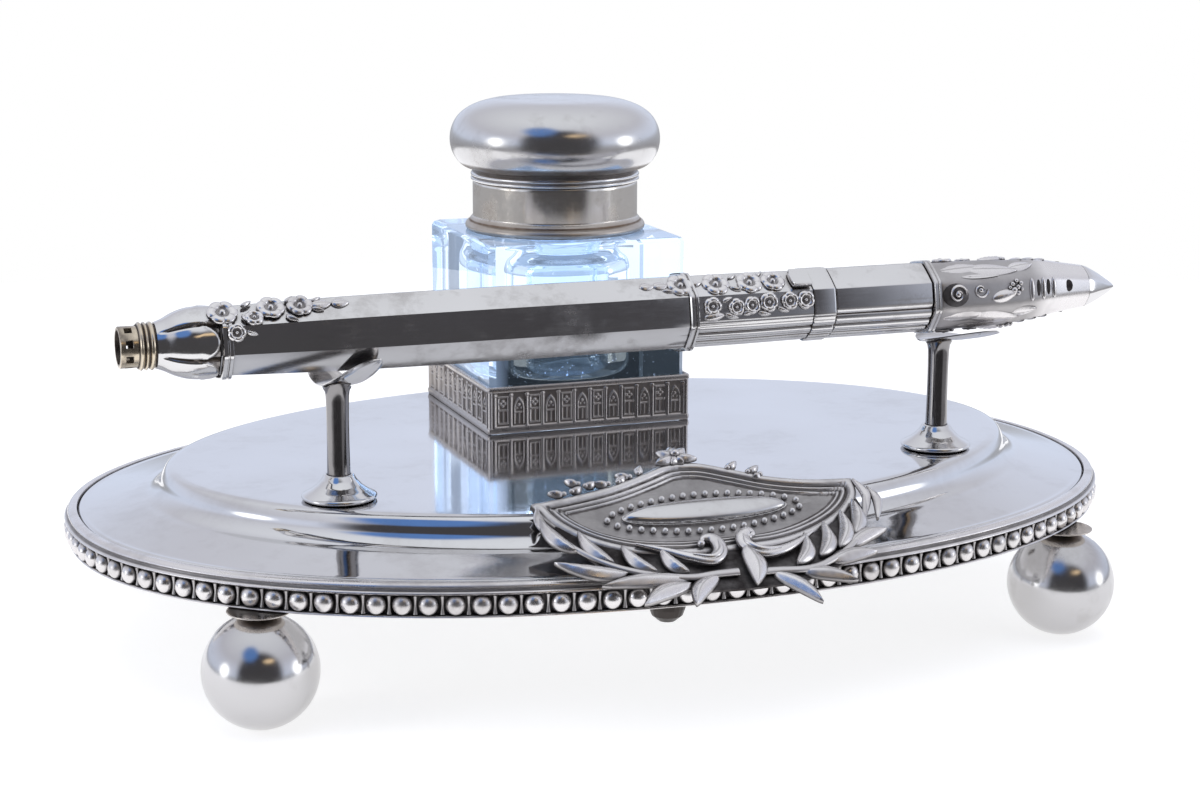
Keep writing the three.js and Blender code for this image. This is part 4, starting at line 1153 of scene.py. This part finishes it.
def make_face_plate():
    """A raised tongue let into the face beside the collar, round at its free end."""
    half, length = 2.15, 4.1
    turns = np.linspace(-math.pi / 2, math.pi / 2, 13)
    bow = [(-length + 0.55 * (1 - math.cos(t)), half * math.sin(t)) for t in turns]
    outline = np.array([(0.0, half), *bow[::-1], (0.0, -half)])
    steps = ((0.0, 0.0), (0.75, 0.0), (0.9, 0.04))
    rows = [at_level(outline * (1 - shrink) - [shrink * length / 2, 0.0], z) for z, shrink in steps]
    return skin(rows, capped=True)


pen_piece("pen_tongue", on_face(make_face_plate(), collar_low[0] - 0.35, 0.0, SLOPING, 7.2), pen_silver,
          "silver_polished", ["pen_face_plate"])
pen_piece("pen_reeded_barrel", make_fluted_barrel(), pen_silver, "silver_polished", ["pen_fluted_barrel"],
          sharp=60.0)


def leaf(length, width, rise, thick, steps=18, across=8, curl=0.0):
    """A pointed leaf along +X from the origin: folded along its midrib, with side veins and turned edges."""
    rows, depths = [], []
    for i in range(steps + 1):
        t = i / steps
        half = width / 2 * (math.sin(math.pi * t**0.8) ** 0.75 if 0 < t < 1 else 0.0) + 0.03
        side = np.linspace(-1, 1, across + 1)
        x = np.full(across + 1, length * t)
        y = side * half
        fold = rise * (1 - np.abs(side) ** 1.3) * math.sin(math.pi * min(t * 0.92 + 0.06, 1.0)) ** 0.6
        vein = -0.14 * np.exp(-((side / 0.14) ** 2)) * (1 - t)
        ribs = 0.05 * np.cos(TAU * (t * 6 - 0.9 * np.abs(side))) * (1 - np.abs(side))
        top = fold + vein + ribs + curl * t**2
        bottom = np.full(across + 1, -thick) + 0.55 * fold + curl * t**2
        rows.append(np.concatenate([np.column_stack([x, y, top]), np.column_stack([x, y, bottom])[::-1]]))
        # Patina and painted shade: the midrib and edges are darkened, and the underside fully, as shade under
        # the leaf.
        edge = 0.5 * ramp(0.25, 0.0, np.abs(side)) + 0.45 * ramp(0.75, 1.0, np.abs(side))
        depths.append(np.concatenate([edge, np.full(across + 1, 1.0)]))
    return skin(rows, np.array(depths), capped=True)


def flower(radius, petals, height=1.0, turn=0.0):
    """A small flower on the plane z = 0: turned-up petals round a deep ring and a bead."""
    columns = petals * 14
    theta = TAU * np.arange(columns) / columns
    lobe = np.abs(np.cos((theta - turn) * petals / 2))
    edge = radius * (0.87 + 0.13 * lobe**0.6)
    shares = np.concatenate([[1.0, 1.0], np.linspace(0.98, 0.40, 12), np.linspace(0.37, 0.0, 8)])
    rows, depths = [], []
    for k, s in enumerate(shares):
        r = edge * s if s > 0.4 else radius * s * 0.95
        petal_rise = math.sin(math.pi * min(1.0, (1.02 - s) / 0.62)) ** 0.7 if s > 0.4 else 0.0
        level = height * (0.25 + 0.6 * petal_rise * (0.68 + 0.32 * lobe**0.5))
        pit = ramp(0.46, 0.38, s)
        bead = ridge(s, 0.24)
        level = level * (1 - pit) + pit * height * (0.12 + 0.75 * bead)
        if k == 0:
            level = np.zeros(columns)
        rows.append(np.column_stack([r * np.cos(theta), r * np.sin(theta),
                                     np.broadcast_to(level, columns)]))
        groove = 0.7 * ramp(0.25, 0.0, lobe) * ramp(1.0, 0.8, s) * (1 - pit)
        depths.append(np.clip(groove + 0.8 * ramp(0.5, 0.4, s) * ramp(0.2, 0.26, s), 0,
                              1) + np.zeros(columns))
    rows.insert(0, np.zeros((columns, 3)))
    depths.insert(0, np.ones(columns))
    return skin(rows, np.array(depths))


def flower_group(flowers, buds, leaves, distance, angle):
    parts = []
    for k, (x, up, radius) in enumerate(flowers):
        bloom = flower(radius, 6 if radius > 2.2 else 5, 0.85, 0.4 * k)
        parts.append(on_face(bloom, x, up, angle, distance))
    for x, up, length in buds:
        parts.append(on_face(leaf(length, length * 0.62, 0.55, thick=0.2).moved(-length / 2), x, up, angle,
                             distance + 0.15))
    for x, up, length, turn in leaves:
        blade = leaf(length, length * 0.42, 0.5, thick=0.2).turned(math.radians(turn), 2)
        parts.append(on_face(blade, x, up, angle, distance + 0.12))
    return together(parts)


FACE = 7.05
BLOSSOMS = {
    "nib_end": {
        "angle": SLOPING,
        "flowers": [(-85.0, 0.3, 2.85), (-79.5, -1.5, 1.8), (-76.0, 0.9, 2.65), (-70.6, 1.0, 2.5)],
        "buds": [(-66.6, 1.0, 3.8), (-63.0, 1.0, 3.4)],
        "leaves": [(-81.4, 1.6, 2.4, 30), (-81.6, -0.6, 2.0, -60), (-73.6, -1.3, 2.6, -35),
                   (-73.2, 2.0, 2.2, 40),
                   (-68.6, 0.2, 2.4, -20), (-68.4, 1.8, 2.2, 25)],
    },
    "before_band": {
        "angle": SLOPING,
        "flowers": [(4.3, 0.3, 2.8)],
        "buds": [(-2.6, 0.4, 3.2), (0.2, 0.4, 3.4)],
        "leaves": [(0.2, -0.8, 2.6, -15)],
    },
    "top": {
        "angle": SLOPING,
        "flowers": [(11.6, 0.1, 2.8), (18.7, 0.0, 2.7), (23.7, 0.0, 2.55)],
        "buds": [(7.6, 0.4, 2.2)],
        "leaves": [(14.2, -0.9, 2.4, -30), (14.6, 1.3, 2.2, 25), (15.6, -1.6, 2.0, 20),
                   (20.6, 1.6, 2.0, 35)],
    },
    "front": {
        "angle": FRONT,
        "flowers": [(9.9, 0.8, 1.9), (14.9, 0.4, 1.75), (18.2, 0.6, 1.8), (21.8, 1.0, 2.0),
                    (26.3, 1.0, 1.85),
                    (29.7, 1.0, 1.9)],
        "buds": [],
        "leaves": [(8.0, -1.4, 4.4, 6), (12.4, -0.8, 3.0, -18), (16.2, -1.0, 2.8, 12),
                   (19.4, -0.9, 2.8, -10),
                   (23.6, -0.2, 2.6, -20), (12.0, 1.6, 2.2, 20)],
    },
}
for place, spray in BLOSSOMS.items():
    sprig = flower_group(spray["flowers"], spray["buds"], spray["leaves"], FACE - 0.08, spray["angle"])
    if place == "nib_end":
        beside = flower_group([(-83.0, 1.5, 1.75)], [], [(-81.2, 1.6, 2.2, -20)], FACE - 0.15, FRONT)
        sprig = together([sprig, beside])
    pen_piece(f"flowers_{place}", sprig, relief, "silver_worked", [f"pen_flowers_{place}"], sharp=70.0,
              weighted=False)


def spiral(turns, outer, inner, steps=60):
    s = np.linspace(0, 1, steps)
    radius = outer + (inner - outer) * s**0.85
    angle = TAU * turns * s
    return np.column_stack([radius * np.cos(angle), radius * np.sin(angle), np.zeros(steps)])


def volute(radius, turns, mirror):
    """A rolled scroll with a round boss in its eye."""
    path = spiral(turns, radius * 0.86, radius * 0.2)
    width = np.linspace(radius * 0.15, radius * 0.08, len(path))
    path[:, 2] = np.linspace(0.0, 0.25, len(path))
    roll = sweep(path, width, width * 1.5, sides=8)
    eye = ellipsoid(radius * 0.3, radius * 0.3, radius * 0.3, 16, 10)
    return together([roll, eye]).scaled(1.0, mirror, 1.0)


def bead_flame():
    """A small flame of pearls that closes the scrollwork."""
    pearls = [(0.0, 0.0, 0.75), (0.9, 0.6, 0.55), (0.9, -0.6, 0.55), (-0.3, 1.25, 0.5), (1.6, 1.3, 0.5),
              (1.8, 0.1, 0.4),
              (-0.9, 0.6, 0.4), (0.6, 1.9, 0.45)]
    return together([ellipsoid(r, r, r, 12, 8).moved(x, y, 0.1) for x, y, r in pearls])


def slot(half_length, half_width):
    """A flat dark patch, flush with the face it lies on, that stands in for a cut hollow: painted shade."""
    hollow = ellipsoid(half_length, half_width, 0.12, 16, 6)
    hollow.recess[:] = 1.0
    return hollow


SCROLL_REACH = 7.9


def make_scroll_end():
    low, high = span("pen_scroll_end")
    x0, x1 = low[0], high[0]
    stations = smooth_curve(
        [(x0, 13.3, 0.0), (x0 + 0.6, 13.6, 0.0), (68.0, 13.7, 0.0), (77.0, 13.1, 0.0), (85.0, 11.8, -0.35),
         (91.0, 10.0, -0.3), (x1, 8.8, -0.2)], 5)
    core = octagon_run([tuple(s) for s in stations], rounding=0.7)
    core.recess[:] = 0.5 * ramp(88.0, 80.0, core.points[:, 0])
    parts = [core]
    for face in range(8):
        angle = face * math.pi / 4
        laid = []

        def lay(part, x, up, sink):
            surface = np.interp(x, stations[:, 0], stations[:, 1]) / 2
            laid.append(on_face(part, x, up, angle, surface - sink))

        if face % 2 == 0:
            lay(slot(3.0, 2.4), x0 + 3.2, 0.0, 0.02)
            lay(volute(2.45, 1.4, 1 if face % 4 else -1), x0 + 3.6, 0.1, 0.0)
            lay(volute(2.0, 1.2, -1 if face % 4 else 1), x0 + 8.9, 0.7, 0.1)
            lay(leaf(6.4, 2.6, 0.8, thick=0.3).turned(math.radians(12), 2), x0 + 11.4, -1.3, 0.1)
            lay(bead_flame(), 76.4, 0.3, 0.0)
            for x, half_length, half_width in ((82.4, 0.5, 1.7), (84.8, 0.5, 1.6), (90.0, 1.0, 1.25)):
                lay(slot(half_length, half_width), x, 0.2, 0.0)
            for x in (80.8, 83.6, 86.2):
                across = np.interp(x, stations[:, 0], stations[:, 1])
                lay(ellipsoid(0.6, across * 0.19, 0.4, 12, 8), x, 0.0, 0.0)
        else:
            for x, length, width, turn in ((x0 + 0.8, 10.5, 3.6, 3), (x0 + 6.5, 12.0, 3.4, -4),
                                           (x0 + 16.5, 6.0, 2.6, 5)):
                lay(leaf(length, width, 0.5, thick=0.3).turned(math.radians(turn), 2), x, 0.3, 0.15)
            lay(leaf(8.5, 1.1, 0.1, thick=0.1).scaled(1, 1, 0.2), x0 + 5.0, -1.9, 0.0)
        for part in laid:
            drop = np.interp(part.points[:, 0], stations[:, 0], stations[:, 2])
            parts.append(Part(part.points - np.outer(drop, (0, 0, 1)), part.quads, part.recess))
    part = together(parts)
    reach = np.hypot(part.points[:, 1], part.points[:, 2])
    part.points[:, 1:] *= np.minimum(1.0, SCROLL_REACH / np.maximum(reach, 1e-6))[:, None]
    part.points[:, 0] = np.minimum(part.points[:, 0], x1)
    return part


def make_tip():
    low, high = span("pen_tip")
    x0, x1 = low[0], high[0]
    stations = smooth_curve(
        [(x0, 8.7, -0.2), (x0 + 0.8, 8.3, -0.17), (x0 + 3.0, 6.5, -0.05), (x1 - 2.4, 3.6, 0.15),
         (x1 - 0.7, 1.6, 0.26),
         (x1 - 0.05, 0.5, 0.3)], 6)
    return octagon_run([tuple(s) for s in stations], rounding=0.5)


pen_piece("pen_scroll_work", make_scroll_end(), worked, "silver_worked", ["pen_scroll_end"], sharp=55.0,
          weighted=False)
pen_piece("pen_end_tip", make_tip(), pen_silver, "silver_polished", ["pen_tip"], sharp=50.0)

# ---- Cartouche --------------------------------------------------------------

LEAN = math.atan(0.5255)
PEARL_OVAL, PEARL_COUNT = (19.4, 4.9, 1.75), 37
FOOT_Y, FOOT_Z = -73.4, 29.4
BOSS_U, BOSS_V = -1.4, 13.3
SHIELD_THICKNESS = 0.8


def on_shield(part):
    """From the cartouche's own plane, u across, v up the slope and w out of it, to the tray."""
    return part.turned(LEAN, 0).moved(0.0, FOOT_Y, FOOT_Z)


def shield_outline():
    """The outer edge, from the peak down the right side and back up the left."""
    right_top = [(-2.4, 27.3), (1.9, 26.7), (8.1, 24.1), (13.8, 21.6), (21.8, 19.6), (31.0, 18.8)]
    right_low = [(31.0, 18.8), (30.2, 14.3), (26.0, 9.3), (18.4, 5.0), (10.0, 2.6), (0.0, 2.2)]
    left_low = [(0.0, 2.2), (-10.0, 2.4), (-19.5, 4.4), (-26.4, 8.2), (-31.2, 13.6), (-33.6, 19.6)]
    left_top = [(-33.6, 19.6), (-27.5, 20.4), (-18.4, 22.2), (-10.5, 24.9), (-5.4, 26.9), (-2.4, 27.3)]
    sides = [smooth_curve(run, 9) for run in (right_top, right_low, left_low, left_top)]
    return np.concatenate([side[:-1] for side in sides])


def edge_distance(points, outline):
    """Distance from each point to the closed outline."""
    best = np.full(len(points), 1e9)
    for start, step in zip(outline, np.roll(outline, -1, axis=0) - outline):
        t = np.clip(((points - start) @ step) / max(step @ step, 1e-12), 0, 1)
        best = np.minimum(best, np.hypot(*(points - start - t[:, None] * step).T))
    return best


def moulding_height(d):
    """The frame's section by distance from the outer edge: a broad roll, a groove, two fine beads."""
    broad = 1.15 * ridge(d - 0.95, 1.0)
    fine = np.maximum(0.82 * ridge(d - 2.65, 0.42), 0.6 * ridge(d - 3.6, 0.3))
    return np.maximum(np.maximum(broad, fine), np.where(d < 2.0, 0.12, 0.2))


def make_shield():
    outline = shield_outline()
    shares = np.concatenate([np.linspace(0, 0.5, 60), np.linspace(0.52, 1, 14)])
    middle = np.column_stack([outline[:, 0] * 0.6, np.full(len(outline), BOSS_V)])
    flat = np.array([outline + (middle - outline) * s for s in shares])
    d = edge_distance(flat.reshape(-1, 2), outline).reshape(flat.shape[:2])
    w = moulding_height(d)
    w[0] = 0.1
    speck = 0.05 * (np.sin(flat[..., 0] * 7.3 + np.sin(flat[..., 1] * 5.1) * 2) * np.sin(flat[...,
                                                                                              1] * 8.9))
    w = w + np.where(d > 4.2, speck, 0.0)
    rows = np.concatenate([flat, w[..., None]], axis=-1)
    depth = np.maximum(ramp(0.5, 0.2, w) * np.where(d > 4.3, 0.62, 1.0), 0.2 * (d < 0.2))
    back = [at_level(middle, -SHIELD_THICKNESS), at_level(outline, -SHIELD_THICKNESS)]
    rows = np.concatenate([np.array(back), rows])
    depth = np.concatenate([np.ones((2, len(outline))), depth])
    return skin(rows, depth)


def make_boss():
    """A long polished oval, domed, with a stepped foot."""
    theta = TAU * np.arange(120) / 120
    c, s = np.cos(theta), np.sin(theta)
    x = 16.6 * np.sign(c) * np.abs(c) ** 0.9
    y = 3.0 * s
    rows = []
    for share, w in ((TINY, 0.0), (1.0, 0.0), (1.0, 0.45), (0.985, 0.7), (0.96, 0.72), (0.95, 0.95),
                     (0.90, 1.35),
                     (0.8, 1.7), (0.62, 1.95), (0.4, 2.1), (0.2, 2.17), (TINY, 2.19)):
        long_share = 1 - (1 - share) * 0.55 if 0.5 < share < 1 else share
        rows.append(at_level(np.column_stack([x * long_share, y * share]), w))
    return skin(rows).moved(BOSS_U, BOSS_V, 0.1)


def make_boss_beads():
    """Separate pearls round the oval, drawn to a blunt point at each end."""
    bead = ellipsoid(0.62, 0.62, 0.72, 14, 8)
    # Painted shade: each pearl is darkened where it sits down against the shield.
    bead.recess = ramp(0.2, -0.15, bead.points[:, 2])
    parts = []
    for x, y, _ in along_oval(*PEARL_OVAL, PEARL_COUNT, 0.5):
        parts.append(bead.moved(x, y, 0.5))
    return together(parts).moved(BOSS_U, BOSS_V, 0.1)


def curl(path, wide, level):
    """A tapering rolled ribbon along [u, v] places, thickest in the middle."""
    path = smooth_curve(path, 8)
    s = np.linspace(0, 1, len(path))
    width = 0.28 + wide * np.sin(math.pi * s) ** 1.1
    flat = np.column_stack([path, level + 0.35 * np.sin(math.pi * s)])
    roll = sweep(flat, width, 0.4 + 0.35 * width, sides=12)
    # Painted shade: the ribbon is darkened on its side towards the shield.
    roll.recess = ramp(level + 0.1, level - 0.35, roll.points[:, 2])
    return roll


def make_scroll(end):
    """A C-scroll: a rolled eye by the middle, a full belly, and a tail that runs up the moulding."""
    eye_end = [(-5.9, 3.8), (-5.2, 4.9), (-3.7, 4.9), (-2.9, 3.4), (-3.2, 1.0), (-5.2, -0.7), (-8.8, 0.4),
               (-13.4, 2.9), (-18.2, 5.2)]
    if end == "right":
        eye_end = [(3.6, 4.3), (4.6, 5.0), (4.0, 5.6), (2.4, 4.4), (2.4, 2.0), (4.6, 0.0), (8.4, 0.0),
                   (12.4, 1.6),
                   (16.4, 4.0)]
    roll = curl(eye_end, 1.15, 1.75)
    eye = ellipsoid(0.75, 0.75, 0.7, 14, 8).moved(*eye_end[0], 1.9)
    lip = curl(eye_end[3:7], 0.35, 2.5)
    return together([roll, eye, lip])


def make_finial():
    """A small full rosette of rounded lobes over a curled base, with sprigs lying beside it."""
    parts = [ellipsoid(0.95, 0.8, 0.85, 14, 8).moved(0, 0.1, 0.75)]
    for turn, length, width in ((100, 2.6, 2.4), (35, 3.3, 2.5), (155, 3.6, 2.6), (200, 4.6, 2.4),
                                (-15, 4.4, 2.3),
                                (75, 2.3, 1.8), (-60, 2.4, 2.2), (240, 2.4, 2.2)):
        parts.append(leaf(length, width, 0.95, thick=0.4).turned(math.radians(turn), 2))
    return together(parts).moved(-2.5, 28.2, 1.45)


def make_buds():
    """Buds and short leaves that break the shield's upper edge."""
    parts = []
    for u, v, turn, length in ((-26.9, 20.9, 165, 3.0), (-25.2, 21.4, 20, 2.4), (-23.4, 23.3, 150, 2.6),
                               (-22.2, 22.6, 15, 2.4), (-17.6, 22.6, 170, 3.0), (-15.6, 22.9, 40, 2.4),
                               (-12.9, 24.0, 160, 2.8), (-11.0, 24.8, 60, 2.2), (7.0, 24.2, 30, 2.8),
                               (10.6, 22.6, 25, 3.0), (12.8, 21.6, 200, 2.0)):
        parts.append(leaf(length, 1.7, 0.9, thick=0.5).turned(math.radians(turn), 2).moved(u, v, 1.0))
        parts.append(ellipsoid(0.55, 0.5, 0.5, 12, 8).moved(u, v, 1.2))
    return together(parts)


def laurel_leaf(base, tip, width=3.2, bow=0.0):
    """A full leaf with a sharp midrib, bowed sideways by a share of its length."""
    dx, dy = tip[0] - base[0], tip[1] - base[1]
    length = math.hypot(dx, dy)
    blade = leaf(length, width, 1.15, thick=0.6, steps=20, across=10, curl=0.2)
    blade = blade.shaped(lambda x, y,
                         z: (x, y + bow * length * np.sin(math.pi * np.clip(x / length, 0, 1)), z))
    return blade.turned(math.atan2(dy, dx), 2).moved(base[0], base[1], 0.0)


SPRAYS = {
    "left": {
        "stem": [(-1.4, -4.0), (-5.9, -4.0), (-10.5, -4.2), (-17.4, -2.6), (-23.9, 0.6), (-29.4, 5.8),
                 (-32.6, 11.4)],
        "inner": [((-29.5, 5.0), (-33.9, 14.0), 0.1), ((-23.7, 1.1), (-27.8, 10.0), 0.1),
                  ((-16.5, -2.2), (-21.0, 5.2), 0.1), ((-10.7, -3.1), (-14.1, 3.4), 0.1)],
        "outer": [((-21.8, -1.5), (-34.4, 2.9), 0.05), ((-10.5, -4.3), (-27.6, -4.1), -0.05),
                  ((-11.2, -5.6), (-21.4, -9.6), -0.08), ((-5.4, -4.2), (-12.0, -11.0), -0.12)],
        "drop": [((1.9, 1.6), (0.6, -8.4), 0.1)],
        "curls": [[(-33.2, 17.6), (-33.8, 13.4), (-31.4, 8.4)]],
    },
    "right": {
        "stem": [(1.8, -4.6), (5.7, -4.6), (12.4, -5.0), (17.2, -3.5), (23.6, 0.6), (28.3, 7.0),
                 (30.8, 12.6)],
        "inner": [((10.4, -3.9), (14.6, 4.0), -0.16), ((15.7, -2.4), (19.4, 6.4), -0.16),
                  ((20.2, -0.7), (24.0, 9.0), -0.14), ((24.6, 2.4), (27.6, 11.6), -0.12)],
        "outer": [((17.3, -3.4), (27.2, -2.4), 0.08), ((22.6, 0.2), (31.4, 3.2), 0.1),
                  ((11.0, -5.2), (20.4, -9.2), 0.08),
                  ((5.2, -4.8), (11.6, -13.6), 0.1)],
        "drop": [],
        "curls": [[(30.6, 17.8), (31.4, 13.4), (29.0, 7.4)], [(32.6, 15.4), (33.0, 11.4), (31.2, 6.6)]],
    },
}


def make_shade_sheet():
    """A near-black sheet laid between the laurel and the shield: painted shade for the gap under the leaves,
    with some oxide.
    """
    places = [-31.0, -26.0, -20.0, -14.0, -8.0, 0.0, 8.0, 14.0, 20.0, 25.0, 29.5]
    upper = [13.0, 8.6, 5.2, 3.8, 3.0, 2.8, 3.2, 4.2, 6.4, 9.0, 13.0]
    lower = [9.4, 1.6, -4.0, -6.2, -7.4, -7.8, -7.6, -6.4, -4.0, 0.4, 7.6]
    rows = []
    for u, high, low in zip(places, upper, lower):
        rows.append([(u, high, 0.75), (u, low, 0.95), (u, low, 0.45), (u, high, 0.1)])
    shade_sheet = skin(np.array(rows), capped=True)
    shade_sheet.recess[:] = 1.0
    return shade_sheet


def make_laurel(stem, inner, outer, drop, curls):
    stem_path = smooth_curve(stem, 8)
    s = np.linspace(0, 1, len(stem_path))
    stalk = sweep(np.column_stack([stem_path, np.full(len(s), 1.6)]), 0.9 - 0.4 * s, 0.6 - 0.2 * s,
                  sides=10)
    stalk.recess[:] = 0.3
    parts = [stalk]
    parts += [laurel_leaf(base, tip, 3.0, bow).moved(z=1.75) for base, tip, bow in inner]
    parts += [laurel_leaf(base, tip, 3.5, bow).moved(z=1.35) for base, tip, bow in outer]
    parts += [laurel_leaf(base, tip, 4.0, bow).moved(z=2.4) for base, tip, bow in drop]
    parts += [curl(path, 0.7, 1.0) for path in curls]
    return together(parts)


def shield_piece(name, part, material, nodes=(), sharp=35.0, slot="silver_worked", weighted=False):
    build(name, on_shield(part), material, "stand", slot, nodes, sharp=sharp, weighted=weighted)


shield_piece("cartouche_face", make_shield(), chased, ["cartouche_plate", "cartouche_moulding"], 75.0)
shield_piece("cartouche_oval", make_boss(), satin, ["cartouche_boss"], slot="silver_polished",
             weighted=True)
shield_piece("cartouche_pearls", make_boss_beads(), pearl, ["cartouche_beading"], 60.0)
# Painted shade: a near-black sheet under the laurel.
shield_piece("cartouche_shade_sheet", make_shade_sheet(), worked, weighted=True)
shield_piece("cartouche_crest", together([make_finial(), make_buds()]), worked, ["cartouche_finial"], 70.0)
for end in ("left", "right"):
    shield_piece(f"laurel_{end}", make_laurel(**SPRAYS[end]), worked, [f"laurel_spray_{end}"], 70.0)
    shield_piece(f"scroll_{end}", make_scroll(end), worked, [f"cartouche_scroll_{end}"], 60.0)

# ---- CAD nodes that stay as they are ------------------------------------------

CARRIED = {
    "pen_rest_nut_left": steel,
    "pen_rest_nut_right": steel,
    "hinge_pin": steel,
    # Painted shade: near-black for the shade under the rim.
    "cartouche_nut": painted_shade_black,
    "pen_core": wood,
}
for node, material in CARRIED.items():
    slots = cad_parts[node].data.materials
    slots.clear()
    slots.append(material)

# ---- Studio -----------------------------------------------------------------

FLOOR_REACH = 0.42
FLOOR_DEPTH = 0.31
FLOOR_FRONT = 0.15


def make_floor():
    columns = 160
    theta = TAU * np.arange(columns) / columns
    mesh = bpy.data.meshes.new("studio_floor")
    points = [(FLOOR_REACH * math.cos(a), FLOOR_DEPTH * math.sin(a) + FLOOR_DEPTH - FLOOR_FRONT,
               0.0) for a in theta]
    mesh.from_pydata(points, [], [list(range(columns))])
    g = Graph("pale_floor")
    grain = g.noise(40.0, 3.0)
    g.link(g.mix(grain, (0.40, 0.40, 0.405, 1), (0.43, 0.43, 0.435, 1)), g.shader.inputs["Base Color"])
    g.shader.inputs["Roughness"].default_value = 0.9
    g.shader.inputs["Emission Color"].default_value = (1.0, 1.0, 1.0, 1)
    g.shader.inputs["Emission Strength"].default_value = 0.72
    mesh.materials.append(g.material)
    floor = bpy.data.objects.new("studio_floor", mesh)
    scene.collection.objects.link(floor)


# What the silver mirrors: the dark side of the room, a blue window, a warm lamp and two bright sides.
ROOM = [
    ((-0.22, -0.90, 0.14), 0.60, 0.84, (1, 1, 1), (0.07, 0.068, 0.075, 1)),
    ((-0.30, -0.88, -0.30), 0.52, 0.80, (1, 1, 1), (0.07, 0.068, 0.072, 1)),
    ((-0.42, -0.50, 0.72), 0.16, 0.34, (1, 1, 1), (0.13, 0.27, 0.62, 1)),
    ((0.10, -0.80, 0.55), 0.05, 0.16, (0.6, 1, 1.6), (1.1, 0.82, 0.5, 1)),
    ((-0.97, -0.05, 0.12), 0.12, 0.24, (1, 1, 1), (2.4, 2.45, 2.5, 1)),
    ((0.86, -0.42, 0.12), 0.12, 0.24, (1, 1, 1), (2.4, 2.45, 2.5, 1)),
]


def make_world():
    """Even pale light all round, with the darker side of the room towards the front and a window in it."""
    world = bpy.data.worlds.new("studio")
    scene.world = world
    world.use_nodes = True
    tree = world.node_tree
    tree.nodes.clear()

    def node(kind, **settings):
        made = tree.nodes.new(kind)
        for key, value in settings.items():
            setattr(made, key, value)
        return made

    direction = node("ShaderNodeTexCoord").outputs["Generated"]

    def patch(centre, inner, outer, stretch):
        """1 near a direction, fading to 0, measured on a stretched sphere of directions."""
        offset = direction
        for operation, value in (("SUBTRACT", centre), ("MULTIPLY", stretch)):
            step = node("ShaderNodeVectorMath", operation=operation)
            tree.links.new(offset, step.inputs[0])
            step.inputs[1].default_value = value
            offset = step.outputs[0]
        length = node("ShaderNodeVectorMath", operation="LENGTH")
        tree.links.new(offset, length.inputs[0])
        fade = node("ShaderNodeMapRange", interpolation_type="SMOOTHSTEP")
        tree.links.new(length.outputs["Value"], fade.inputs["Value"])
        for name, number in (("From Min", inner), ("From Max", outer), ("To Min", 1.0), ("To Max", 0.0)):
            fade.inputs[name].default_value = number
        return fade.outputs["Result"]

    def blend(base, factor, colour):
        mix = node("ShaderNodeMix", data_type="RGBA")
        tree.links.new(factor, mix.inputs["Factor"])
        tree.links.new(base, mix.inputs["A"])
        mix.inputs["B"].default_value = colour
        return mix.outputs["Result"]

    split = node("ShaderNodeSeparateXYZ")
    tree.links.new(direction, split.inputs[0])
    height = node("ShaderNodeMapRange")
    tree.links.new(split.outputs["Z"], height.inputs["Value"])
    height.inputs["From Min"].default_value = -1.0
    ramp_node = node("ShaderNodeValToRGB")
    tree.links.new(height.outputs["Result"], ramp_node.inputs["Fac"])
    stops = [(0.0, (0.45, 0.45, 0.46, 1)), (0.42, (0.38, 0.38, 0.40, 1)), (0.49, (0.5, 0.52, 0.57, 1)),
             (0.54, (0.77, 0.84, 1.0, 1)), (0.63, (0.78, 0.83, 0.97, 1)), (0.75, (0.68, 0.69, 0.76, 1)),
             (1.0, (0.90, 0.93, 0.98, 1))]
    elements = ramp_node.color_ramp.elements
    while len(elements) < len(stops):
        elements.new(0.5)
    for element, (position, colour) in zip(elements, stops):
        element.position = position
        element.color = colour
    colour = ramp_node.outputs["Color"]
    for *where, tint in ROOM:
        colour = blend(colour, patch(*where), tint)
    seen = node("ShaderNodeLightPath").outputs["Is Camera Ray"]
    shown = blend(colour, seen, (1.0, 1.0, 1.0, 1))
    background = node("ShaderNodeBackground")
    tree.links.new(shown, background.inputs["Color"])
    background.inputs["Strength"].default_value = 1.0
    output = node("ShaderNodeOutputWorld")
    tree.links.new(background.outputs[0], output.inputs["Surface"])


def soft_light(name, place, target, size, power, colour):
    data = bpy.data.lights.new(name, "AREA")
    data.shape = "DISK"
    data.size = size
    data.energy = power
    data.color = colour
    light = bpy.data.objects.new(name, data)
    light.location = CENTRE + Vector(place)
    light.rotation_euler = (Vector(target) - Vector(place)).to_track_quat("-Z", "Y").to_euler()
    light.visible_camera = False
    light.visible_glossy = False
    scene.collection.objects.link(light)


make_floor()
make_world()
soft_light("overhead", place=(0.05, 0.1, 0.95), target=(0, 0, 0.02), size=1.3, power=4.2,
           colour=(1.0, 0.99, 0.98))
soft_light("left_fill", place=(-0.9, -0.1, 0.45), target=(0, 0, 0.05), size=0.35, power=2.0,
           colour=(0.97, 0.98, 1.0))
